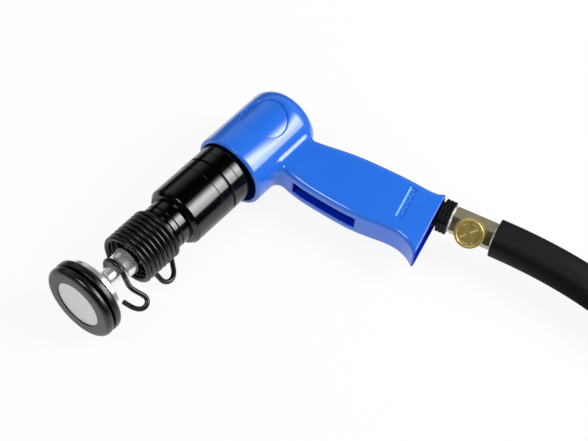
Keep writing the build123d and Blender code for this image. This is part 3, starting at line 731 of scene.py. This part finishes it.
GUARD_RUBBER = Mottled(
    "moulded_guard_rubber", Slot.GUARD_RUBBER, RUBBER_TONES, 0.19, RUBBER_GRAINS, ("IOR", 1.60)
)
HOSE_RUBBER = Mottled(
    "extruded_hose_rubber", Slot.HOSE_RUBBER, ((0.0008, 0.0008, 0.0010), (0.0020, 0.0020, 0.0023)), 0.40,
    RUBBER_GRAINS, ("IOR", 1.42),
)
SEAL_RUBBER = Mottled("seal_rubber", Slot.SEAL_RUBBER, RUBBER_TONES, 0.28, RUBBER_GRAINS, ("IOR", 1.5))
BUSHING_STEEL = Mottled(
    "coated_bushing_steel", Slot.BLACK_STEEL, ((0.0006, 0.0006, 0.0007), (0.0014, 0.0014, 0.0016)), 0.30,
    (RUBBER_CLOUD, Grain(900.0, 2.0, 0.08, 0.16 * MM, 0.35)), ("IOR", 1.27),
)
BODY_BRASS = Brass("satin_body_brass", Slot.BRASS, ((0.70, 0.62, 0.41), (0.84, 0.77, 0.55)), 0.19)
KNOB_BRASS = Brass(
    "golden_knob_brass", Slot.BRASS, ((0.44, 0.32, 0.08), (0.66, 0.49, 0.13)), 0.24, 0.62, (1.0, 0.88, 0.50)
)
WHITE_SEAL = Mottled(
    "white_seal", Slot.WHITE_SEAL, ((0.80, 0.79, 0.76), (0.66, 0.64, 0.60)), 0.43, PACKING_GRAINS,
    span=PACKING_SPAN,
)
GASKET_FIBRE = Mottled(
    "gasket_fibre", Slot.GASKET_FIBRE, ((0.30, 0.16, 0.08), (0.20, 0.10, 0.05)), 0.43, PACKING_GRAINS,
    span=PACKING_SPAN,
)


def stand(name: str, data: bpy.types.ID) -> bpy.types.Object:
    """Makes an object and puts it into the scene.

    Args:
        name: What the object is called.
        data: Its mesh, curve, lamp or camera.

    Returns:
        The object.
    """
    made = bpy.data.objects.new(name, data)
    bpy.context.scene.collection.objects.link(made)
    return made


def fit(made: bpy.types.Object, body: Body, finish: Finish, *nodes: str) -> bpy.types.Object:
    """Gives a piece its finish, its body and the CAD nodes that it stands for.

    Args:
        made: The piece.
        body: The body that it rides on.
        finish: Its finish.
        nodes: The CAD nodes that it replaces.

    Returns:
        The piece.
    """
    made.data.materials.clear()
    made.data.materials.append(finish.make())
    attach(made, body.value)
    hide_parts(*nodes)
    LOG.info("%s on %s stands for %s", made.name, body.value, ", ".join(nodes))
    return made


def dress(frame: Frame, finish: Finish, *nodes: str) -> None:
    """Gives CAD nodes that stay a finish.

    Args:
        frame: What the frame's loading returned.
        finish: The finish.
        nodes: The nodes' names.
    """
    for name in nodes:
        data = frame["nodes"][name].data
        data.materials.clear()
        data.materials.append(finish.make())
        LOG.info("%s stays as the CAD node", name)


@dataclass
class Piece:
    """A smooth piece that replaces a CAD node and, if it is plain, is made from the node's merged mesh."""

    node: str
    name: str
    finish: Finish
    body: Body = Body.HOUSING
    sharp_angle: float = 28.0

    def mesh(self, frame: Frame) -> bpy.types.Mesh:
        """Makes the piece's mesh from the loose triangles of its node.

        Args:
            frame: What the frame's loading returned.

        Returns:
            A mesh whose triangles share their corners, not yet shaded.
        """
        joined = bmesh.new()
        joined.from_mesh(frame["nodes"][self.node].data)
        bmesh.ops.remove_doubles(joined, verts=joined.verts, dist=CAD_WELD)
        joined.verts.index_update()
        points = [vert.co[:] for vert in joined.verts]
        faces = [[vert.index for vert in face.verts] for face in joined.faces]
        joined.free()
        made = bpy.data.meshes.new(self.name)
        made.from_pydata(points, [], faces)
        made.validate()
        return made

    def build(self, frame: Frame) -> bpy.types.Object:
        """Builds the piece, shades it smooth apart from its sharp edges and fits it to its body.

        Args:
            frame: What the frame's loading returned.

        Returns:
            The piece.
        """
        mesh = self.mesh(frame)
        with opened(mesh) as shaded:
            for face in shaded.faces:
                face.smooth = True
            for edge in shaded.edges:
                edge.smooth = edge.calc_face_angle(math.pi) < math.radians(self.sharp_angle)
        return fit(stand(self.name, mesh), self.body, self.finish, self.node)


@dataclass
class SteelSet(Piece):
    """The steel set with its flat face and a collar that is wider towards the barrel."""

    collar_reach: Pair = (-41.05 * MM, -32.95 * MM)
    collar_taper: Pair = (1.08, 0.93)
    collar_foot: float = 5.6 * MM

    def mesh(self, frame: Frame) -> bpy.types.Mesh:
        """Makes the set's mesh from its node's, with the collar tapered."""
        made = super().mesh(frame)
        back, front = self.collar_reach
        wide, narrow = self.collar_taper
        for vert in made.vertices:
            x, y, z = vert.co
            if back < x < front and math.hypot(y, z) > self.collar_foot:
                scale = wide + (narrow - wide) * (x - back) / (front - back)
                vert.co = (x, y * scale, z * scale)
        return made


@dataclass
class Casting(Piece):
    """The blue casting: head, pistol grip and hollow foot, with a sunk strip on its side."""

    def mesh(self, frame: Frame) -> bpy.types.Mesh:
        """Makes the casting's mesh from its node's, with the strip sunk."""
        made = super().mesh(frame)
        SIDE_STRIP.sink(made)
        return made


@dataclass
class Station:
    """A place on a wire's line and the direction in which the wire passes it."""

    point: Vector
    heading: Vector


@dataclass
class RetainerSpring(Piece):
    """One wire: rear finger loop, coil on the barrel's nose and hook over the neck of the set."""

    wire_radius: float = 1.4 * MM
    shown_radius: float = 1.53 * MM
    nose_radius: float = 14.1 * MM
    coil_fit: float = 0.03 * MM
    coil_pitch: float = 3.36 * MM
    coil_turns: float = 7.67
    coil_back: float = -65.6 * MM
    stations_per_turn: int = 10
    tail_angle: float = math.radians(-50.0)
    loop_place: float = -30.6 * MM
    loop_radius: float = 7.4 * MM
    wire_sides: int = 20
    tail: tuple[Point, ...] = (
        (0.8886, 0.2511, 99.0),
        (0.8371, 0.5087, 101.0),
        (0.4958, 0.8178, 180.0),
        (0.1545, 0.5151, 252.0),
        (0.0322, 0.1674, 262.0),
    )
    hook: tuple[tuple[Point, Point], ...] = (
        ((-0.946, -1.486, -1.540), (0.75, 0.45, -0.48)),
        ((-0.378, -1.203, -1.432), (0.80, 0.20, 0.57)),
        ((-0.014, -1.027, -0.568), (0.15, 0.08, 0.985)),
        ((0.054, -0.993, 0.108), (0.0, 0.05, 1.0)),
        ((0.014, -0.703, 0.730), (-0.05, 0.72, 0.69)),
        ((0.000, 0.000, 1.000), (0.0, 1.0, 0.0)),
        ((0.054, 0.676, 0.743), (0.08, 0.75, -0.66)),
        ((0.122, 1.162, 0.216), (0.10, 0.80, -0.59)),
        ((0.216, 1.689, -0.176), (-0.05, 0.85, -0.52)),
        ((-0.095, 2.486, -0.676), (-0.42, 0.72, -0.55)),
        ((-0.243, 3.068, -1.081), (0.35, 0.75, -0.56)),
        ((0.230, 3.297, -1.351), (0.85, -0.20, -0.48)),
        ((0.635, 2.757, -1.703), (0.25, -0.92, -0.30)),
        ((0.757, 1.568, -1.919), (0.05, -0.98, -0.18)),
    )

    @property
    def coil_radius(self) -> float:
        """Radius of the coil's middle line."""
        return self.nose_radius + self.coil_fit + self.wire_radius

    def tail_stations(self) -> list[Station]:
        """Stations of the rear finger loop, which stands out from the coil."""
        outward = Vector((0.0, math.cos(self.tail_angle), math.sin(self.tail_angle)))
        found = []
        for ahead, out, heading in self.tail:
            turn = math.radians(heading)
            point = Vector((self.coil_back + ahead * self.coil_radius, 0.0, 0.0))
            point += outward * ((1.0 + out) * self.coil_radius)
            found.append(Station(point, Vector((math.cos(turn), 0.0, 0.0)) + outward * math.sin(turn)))
        return found

    def coil_stations(self) -> list[Station]:
        """Stations of the close-wound coil."""
        bend = 2.0 * self.wire_radius
        start = self.tail_angle + math.asin(bend / (self.coil_radius + bend))
        lead = self.coil_pitch / math.tau
        count = round(self.coil_turns * self.stations_per_turn)
        found = []
        for index in range(count + 1):
            swept = math.tau * self.coil_turns * index / count
            across = Vector((0.0, math.cos(start + swept), math.sin(start + swept)))
            along = Vector((lead, -self.coil_radius * across.z, self.coil_radius * across.y))
            point = Vector((self.coil_back + lead * swept, 0.0, 0.0)) + across * self.coil_radius
            found.append(Station(point, along.normalized()))
        return found

    def hook_stations(self) -> list[Station]:
        """Stations of the loop over the neck and of the front hook."""
        middle = Vector((self.loop_place, 0.0, 0.0))
        return [
            Station(middle + Vector(place) * self.loop_radius, Vector(heading).normalized())
            for place, heading in self.hook
        ]

    def line(self) -> bpy.types.Object:
        """Makes the wire's middle line, a curve whose handles follow the stations' directions as arcs would.

        Returns:
            The curve's object.
        """
        stations = self.tail_stations() + self.coil_stations() + self.hook_stations()
        curve = bpy.data.curves.new("spring_line", "CURVE")
        curve.dimensions = "3D"
        curve.resolution_u = 10
        spline = curve.splines.new("BEZIER")
        spline.bezier_points.add(len(stations) - 1)
        for knot, station in zip(spline.bezier_points, stations):
            knot.co = knot.handle_left = knot.handle_right = station.point
        for index, (first, second) in enumerate(zip(stations, stations[1:])):
            reach = (second.point - first.point).length
            reach /= 3.0 * math.cos(first.heading.angle(second.heading) / 4.0) ** 2
            spline.bezier_points[index].handle_right = first.point + first.heading * reach
            spline.bezier_points[index + 1].handle_left = second.point - second.heading * reach
        return stand("spring_line", curve)

    def sweep(self) -> bpy.types.NodeTree:
        """Builds the Geometry Nodes tree that sweeps a round wire along a curve and closes its ends.

        Returns:
            The tree, with the wire's radius and number of sides as named inputs.
        """
        made = bpy.data.node_groups.new("wire_sweep", "GeometryNodeTree")
        for name, kind in (("Line", "Geometry"), ("Wire Radius", "Float"), ("Sides", "Int")):
            made.interface.new_socket(name, in_out="INPUT", socket_type=f"NodeSocket{kind}")
        made.interface.new_socket("Wire", in_out="OUTPUT", socket_type="NodeSocketGeometry")
        given, result = made.nodes.new("NodeGroupInput"), made.nodes.new("NodeGroupOutput")
        kinds = ("CurvePrimitiveCircle", "CurveToMesh", "SetShadeSmooth", "RealizeInstances", "SetMaterial")
        ring, sweep, smooth, realize, paint = (made.nodes.new(f"GeometryNode{kind}") for kind in kinds)
        sweep.inputs["Fill Caps"].default_value = True
        paint.inputs["Material"].default_value = self.finish.make()
        for start, output, end, entry in (
            (given, "Wire Radius", ring, "Radius"),
            (given, "Sides", ring, "Resolution"),
            (given, "Line", sweep, "Curve"),
            (ring, "Curve", sweep, "Profile Curve"),
            (sweep, "Mesh", smooth, "Geometry"),
            (smooth, "Geometry", realize, "Geometry"),
            (realize, "Geometry", paint, "Geometry"),
            (paint, "Geometry", result, "Wire"),
        ):
            made.links.new(start.outputs[output], end.inputs[entry])
        return made

    def mesh(self, frame: Frame) -> bpy.types.Mesh:
        """Makes the wire's mesh by sweeping it along its line, which is removed."""
        line, tree = self.line(), self.sweep()
        sockets = {item.name: item.identifier for item in tree.interface.items_tree}
        modifier = line.modifiers.new("wire_sweep", "NODES")
        modifier.node_group = tree
        modifier[sockets["Wire Radius"]] = self.shown_radius
        modifier[sockets["Sides"]] = self.wire_sides
        made = bpy.data.meshes.new_from_object(line.evaluated_get(bpy.context.evaluated_depsgraph_get()))
        bpy.data.objects.remove(line)
        with opened(made) as closed:
            bmesh.ops.remove_doubles(closed, verts=closed.verts, dist=WIRE_WELD)
            bmesh.ops.recalc_face_normals(closed, faces=closed.faces)
        return made


@dataclass
class FootBushing(Piece):
    """Black hexagon bushing with three rounded bands and soft corners, in millimetres."""

    apothem: float = 9.0
    flats: int = 6
    softness: float = 34.0
    points: int = 96
    start: float = 115.2
    end: float = 122.2
    bands: int = 3
    band_points: int = 8
    groove: float = 0.42
    end_break: float = 1.3
    collar: Line = ((100.05, 4.0), (100.05, 6.59), (113.0, 6.59), (113.0, 7.7), (115.2, 7.7))
    bore: Line = ((122.2, 5.2), (117.5, 5.2), (117.5, 4.0))

    def ring(self, distance: float, radius: float, hexagon: bool) -> list[Vector]:
        """Points of one ring, round or with six soft flats, the radius being that of the flats."""
        found = []
        for index in range(self.points):
            angle = math.tau * index / self.points
            reach = radius
            if hexagon:
                offsets = [angle - math.tau * side / self.flats for side in range(self.flats)]
                total = sum(max(0.0, math.cos(offset)) ** self.softness for offset in offsets)
                reach = radius * total ** (-1.0 / self.softness)
            spoke = GRIP_LINE.ahead * math.cos(angle) + Vector((0.0, 0.0, math.sin(angle)))
            found.append(GRIP_LINE.point(distance) + spoke * (reach * MM))
        return found

    def outline(self) -> list[Pair]:
        """Distances along the grip and flat radii of the rounded bands."""
        band = (self.end - self.start) / self.bands
        last = self.bands * self.band_points
        found = []
        for index in range(last + 1):
            share = 2.0 * (index % self.band_points) / self.band_points - 1.0
            depth = self.end_break if index in (0, last) else self.groove
            radius = self.apothem - depth * (1.0 - math.sqrt(max(0.0, 1.0 - share**2)))
            found.append((self.start + band * index / self.band_points, radius))
        return found

    def mesh(self, frame: Frame) -> bpy.types.Mesh:
        """Makes the bushing's mesh: collar, bands and bore."""
        courses = ((self.collar, False), (self.outline(), True), (self.bore, False))
        rings = [self.ring(*place, hexagon) for places, hexagon in courses for place in places]
        made = bpy.data.meshes.new(self.name)
        with opened(made) as skin:
            add_rings(skin, rings, endless=True)
        return made


@dataclass
class RegulatorKnob(Piece):
    """Round brass knob: rolled rim, sunk disc and a few plain raised marks on it, in millimetres."""

    place: float = 136.3
    base: float = 8.35
    radius: float = 9.0
    height: float = 5.9
    bevel: float = 0.5
    roll: float = 0.95
    roll_steps: int = 13
    roll_step: float = math.radians(12.5)
    rim_foot: Line = ((0.05, 0.1), (0.2, 0.0))
    floor: float = 4.95
    stem: float = 2.4
    points: int = 112
    mark_height: float = 0.45
    marks: tuple[tuple[float, Line], ...] = (
        (0.75, ((0.5, 0.7), (4.3, 4.4))),
        (0.60, ((-4.6, -4.4), (-1.3, -1.1))),
        (0.55, ((-4.9, 3.4), (-3.5, 4.4))),
        (0.55, ((-2.6, 5.2), (-1.9, 5.5))),
        (0.34, ((-0.2, 6.2), (1.8, 5.9), (3.6, 5.0), (4.9, 3.7))),
        (0.34, ((-3.6, -5.2), (-1.8, -6.0), (0.2, -6.2), (2.0, -5.9))),
        (0.70, ((3.2, -5.2), (4.1, -4.6))),
    )

    def profile(self) -> list[Pair]:
        """Radii and heights, from the stem's hole round the rim to the disc."""
        found = [(self.stem, 0.5 * self.height), (self.stem, 0.0)]
        found += [(self.radius - self.bevel, 0.0), (self.radius, self.bevel)]
        middle, crest = self.radius - self.roll, self.height - self.roll
        for step in range(self.roll_steps):
            turn = self.roll_step * step
            found.append((middle + self.roll * math.cos(turn), crest + self.roll * math.sin(turn)))
        return found + [(middle - self.roll - inset, self.floor + rise) for inset, rise in self.rim_foot]

    def mesh(self, frame: Frame) -> bpy.types.Mesh:
        """Makes the knob's mesh: its skin and its marks."""
        outwards = GRIP_LINE.ahead * math.cos(KNOB_ANGLE)
        outwards.z += math.sin(KNOB_ANGLE)
        middle = GRIP_LINE.point(self.place) + outwards * (self.base * MM)
        place = field_frame(middle, GRIP_LINE.along, outwards)
        disc = place @ Matrix.Translation((0.0, 0.0, self.floor * MM))
        turns = [math.tau * index / self.points for index in range(self.points)]
        spokes = [(math.cos(turn), math.sin(turn)) for turn in turns]
        rings = [
            [place @ (Vector((radius * x, radius * y, height)) * MM) for x, y in spokes]
            for radius, height in self.profile()
        ]
        made = bpy.data.meshes.new(self.name)
        with opened(made) as skin:
            add_rings(skin, rings)
            for half_width, line in self.marks:
                Ridge(line, half_width, self.mark_height).add(skin, disc)
        return made


@dataclass
class AirHose:
    """The rubber hose, a free length on the bench, and the fittings of its far end."""

    radius: float = 11.5 * MM
    length: float = 0.6
    sides: int = 14
    route: tuple[Point, ...] = (
        (-197.323, 144.889, 0.0),
        (-212.852, 202.845, 0.0),
        (-204.659, 296.487, -12.5),
        (-142.989, 367.430, -12.5),
        (-50.716, 385.366, -12.5),
        (33.037, 342.691, -12.5),
        (72.764, 257.498, -12.5),
        (84.246, 175.801, -11.0),
    )
    fittings: tuple[Piece, ...] = (
        Piece("hose_ferrule", "crimped_ferrule", PLATED_STEEL),
        Piece("hose_plug", "quick_plug", PLATED_STEEL),
    )

    def build(self, frame: Frame) -> None:
        """Args:
            frame: What the frame's loading returned.
        """
        curve = bpy.data.curves.new("rubber_hose", "CURVE")
        curve.dimensions = "3D"
        curve.resolution_u = 24
        curve.bevel_depth = self.radius
        curve.bevel_resolution = self.sides
        curve.use_fill_caps = True
        spline = curve.splines.new("NURBS")
        spline.points.add(len(self.route) - 1)
        for knot, place in zip(spline.points, self.route):
            knot.co = (*(part * MM for part in place), 1.0)
        spline.order_u = 3
        spline.use_endpoint_u = True
        hose = stand("rubber_hose", curve)
        fit(hose, Body.HOUSING, HOSE_RUBBER, "air_hose")
        ends = [piece.build(frame) for piece in self.fittings]
        [part * MM for part in self.route[0]]


PIECES: tuple[Piece, ...] = (
    SteelSet("forming_set", "forming_set_steel", SET_STEEL, Body.FORMING_SET),
    Piece("rubber_ring", "guard_ring", GUARD_RUBBER, Body.FORMING_SET),
    Piece("barrel", "barrel_body", BARREL_STEEL),
    Piece("barrel_lock_ring", "lock_ring", BARREL_STEEL),
    Piece("barrel_snap_ring", "snap_ring", BARREL_STEEL),
    Piece("barrel_sleeve", "rear_sleeve", BARREL_STEEL),
    RetainerSpring("retainer_spring", "spring_wire", SPRING_WIRE, sharp_angle=60.0),
    Casting("grip_housing", "grip_casting", ENAMEL, sharp_angle=24.0),
    FootBushing("inlet_bushing", "foot_bushing", BUSHING_STEEL, sharp_angle=40.0),
    RegulatorKnob("regulator_knob", "brass_knob", KNOB_BRASS, Body.KNOB),
    Piece("inlet_washer", "foot_washer", WHITE_SEAL),
    Piece("regulator_body", "brass_body", BODY_BRASS),
    Piece("hose_washer", "end_washer", WHITE_SEAL),
)
KEPT_NODES: tuple[tuple[Finish, tuple[str, ...]], ...] = (
    (BODY_BRASS, ("hose_barb",)),
    (KNOB_BRASS, ("regulator_stem", "regulator_gland")),
    (SEAL_RUBBER, ("regulator_o_ring",)),
    (INNER_STEEL, ("inlet_screen", "piston", "valve_seat", "valve_cage")),
    (INNER_STEEL, ("valve_cap", "valve_shuttle", "valve_pins")),
    (GASKET_FIBRE, ("valve_gasket",)),
)


@dataclass(frozen=True)
class Lamp:
    """A rectangular soft lamp that faces the tool, with a brightness that changes from foot to top."""

    name: str
    place: Point
    aim: Point
    width: float
    height: float
    radiance: float
    side_fades: Pair = (0.2, 0.2)
    profile: Line = ((0.0, 0.0), (0.2, 1.0), (0.8, 1.0), (1.0, 0.0))

    def shader(self, graph: Graph) -> Socket:
        """Adds the lamp's nodes and returns its shader, whose brightness runs from 0 to 1."""
        across, up, _ = graph.parts(graph.node("NewGeometry").outputs["Parametric"])
        rise = graph.node("ValToRGB", {"Fac": up})
        stops = rise.color_ramp.elements
        while len(stops) < len(self.profile):
            stops.new(1.0)
        for stop, (place, share) in zip(stops, self.profile):
            stop.position = place
            stop.color = (share, share, share, 1.0)
        near, far = self.side_fades
        sides = graph.between(across, 0.0, near) * graph.between(1.0 - across, 0.0, far)
        return graph.white("Emission", Term(graph, rise.outputs["Color"]) * sides)

    def build(self) -> None:
        """Hangs the lamp."""
        light = bpy.data.lights.new(self.name, "AREA")
        light.shape = "RECTANGLE"
        light.size = self.width
        light.size_y = self.height
        light.energy = self.radiance * math.pi * self.width * self.height
        shade(light, self.shader)
        turn = (Vector(self.aim) - Vector(self.place)).to_track_quat("-Z", "Y")
        stand(self.name, light).matrix_world = Matrix.Translation(self.place) @ turn.to_matrix().to_4x4()


@dataclass
class Studio:
    """Floor, soft lamps, dim room and the camera; its place, the photograph's, is in millimetres."""

    camera_place: Point = (463.3, 460.4, 1051.7)
    camera_right: Point = (-0.6485, 0.7581, 0.0688)
    camera_up: Point = (-0.6042, -0.5676, 0.5593)
    focal_pixels: float = 2199.47
    sensor_width: float = 36.0
    clip: Pair = (0.05, 50.0)
    floor_reach: float = 8.0
    floor_colour: Colour = (0.80, 0.80, 0.80)
    floor_glow: float = 0.90
    mirror_glow: float = 0.65
    floor_dusk: float = 0.04
    dusk_colour: Colour = (0.02, 0.02, 0.02)
    side_dusk: Pair = (0.08, 0.24)
    back_dusk: Pair = (0.21, 0.32)
    backdrop_side: Pair = (-0.75, -0.66)
    backdrop_blur: float = 0.35
    backdrop_top: float = 0.20
    backdrop_edge: float = 0.03
    backdrop_glow: float = 0.04
    wall_glow: float = 0.46
    wall_top: float = 0.85
    near_glow: float = 0.03
    fill_glow: float = 0.40
    fill_lean: float = 0.38
    lamps: tuple[Lamp, ...] = (
        Lamp(
            "side_softbox", (-1.00, 0.795, 0.922), (-1.00, -0.135, 0.167), 1.30, 1.27, 12.2, (0.12, 0.74),
            ((0.0, 0.0), (0.06, 0.48), (0.29, 0.72), (0.45, 1.0), (0.61, 0.95), (0.80, 0.28), (1.0, 0.0)),
        ),
        Lamp("front_softbox", (0.52, -0.23, 0.955), (-0.06, 0.0, 0.0), 0.44, 0.44, 9.0),
    )

    def bench(self, graph: Graph) -> Socket:
        """Adds the floor's nodes and returns its shader: white to the camera, dusky in far reflections."""
        path = graph.node("LightPath").outputs
        direct, glossy, clear = (
            Term(graph, path[f"Is {kind} Ray"]) for kind in ("Camera", "Glossy", "Transmission")
        )
        mirrored = graph.maths("MAXIMUM", glossy, clear)
        ahead, across, _ = graph.parts(graph.place())
        sides = graph.between(abs(across), *self.side_dusk)
        dusk = graph.maths("MAXIMUM", sides, graph.between(ahead * -1.0, *self.back_dusk))
        mirror = 1.0 - dusk * (1.0 - self.floor_dusk)
        pale = graph.blend(dusk * mirrored, self.floor_colour, self.dusk_colour)
        matt = graph.node("BsdfDiffuse", {"Color": pale}).outputs[0]
        glow = graph.white("Emission", direct + mirrored * mirror)
        share = direct * self.floor_glow + mirrored * self.mirror_glow
        return graph.node("MixShader", {0: share, 1: matt, 2: glow}).outputs[0]

    def floor(self) -> None:
        """Lays a pale floor that looks white from afar and keeps the tool's shadow."""
        mesh = bpy.data.meshes.new("bench_top")
        reach = self.floor_reach
        corners = ((-reach, -reach), (reach, -reach), (reach, reach), (-reach, reach))
        mesh.from_pydata([(x, y, FLOOR_HEIGHT) for x, y in corners], [], [(0, 1, 2, 3)])
        made = stand("bench_top", mesh)
        material = bpy.data.materials.new("pale_bench")
        shade(material, self.bench)
        mesh.materials.append(material)

    def room(self, graph: Graph) -> Socket:
        """Adds the room's nodes and returns its shader: a pale wall on the far side, dim above and near."""
        x, y, z = graph.parts(graph.node("TexCoord").outputs["Generated"])
        far = graph.between(x * self.backdrop_side[0] + y * self.backdrop_side[1], 0.0, self.backdrop_blur)
        top, edge = self.backdrop_top, self.backdrop_edge
        above = graph.between(z, top - edge, top + edge)
        ceiling = graph.between(z, 0.5 * self.wall_top, self.wall_top)
        wall = self.wall_glow - ceiling * self.wall_glow
        beyond = self.backdrop_glow * (1.0 - above) + wall * above
        seen = beyond * far + self.near_glow * (1.0 - far)
        filling = Term(graph, graph.node("LightPath").outputs["Is Diffuse Ray"])
        strength = seen * (1.0 - filling) + filling * (self.fill_glow + x * self.fill_lean)
        return graph.white("Background", strength)

    def camera(self) -> None:
        """Sets the camera up at the photograph's place, tilt and focal length."""
        data = bpy.data.cameras.new("photo_camera")
        data.sensor_fit = "HORIZONTAL"
        data.sensor_width = self.sensor_width
        data.lens = self.focal_pixels * self.sensor_width / IMAGE_WIDTH
        data.clip_start, data.clip_end = self.clip
        right = Vector(self.camera_right).normalized()
        back = right.cross(Vector(self.camera_up)).normalized()
        turn = Matrix((right, back.cross(right), back)).transposed()
        made = stand("photo_camera", data)
        made.matrix_world = Matrix.Translation(Vector(self.camera_place) * MM) @ turn.to_4x4()
        bpy.context.scene.camera = made

    def build(self) -> None:
        """Sets up the studio."""
        scene = bpy.context.scene
        scene.view_settings.view_transform = "Standard"
        self.floor()
        scene.world = bpy.data.worlds.new("studio_room")
        shade(scene.world, self.room)
        self.camera()
        for lamp in self.lamps:
            lamp.build()


def main() -> None:
    """Builds the hammer's looks and the studio."""
    logging.basicConfig(level=logging.INFO, format="%(name)s: %(message)s")
    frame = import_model()
    Studio().build()
    AirHose().build(frame)
    for piece in PIECES:
        piece.build(frame)
    for finish, nodes in KEPT_NODES:
        dress(frame, finish, *nodes)
    bpy.context.view_layer.update()


if __name__ == "__main__":
    main()
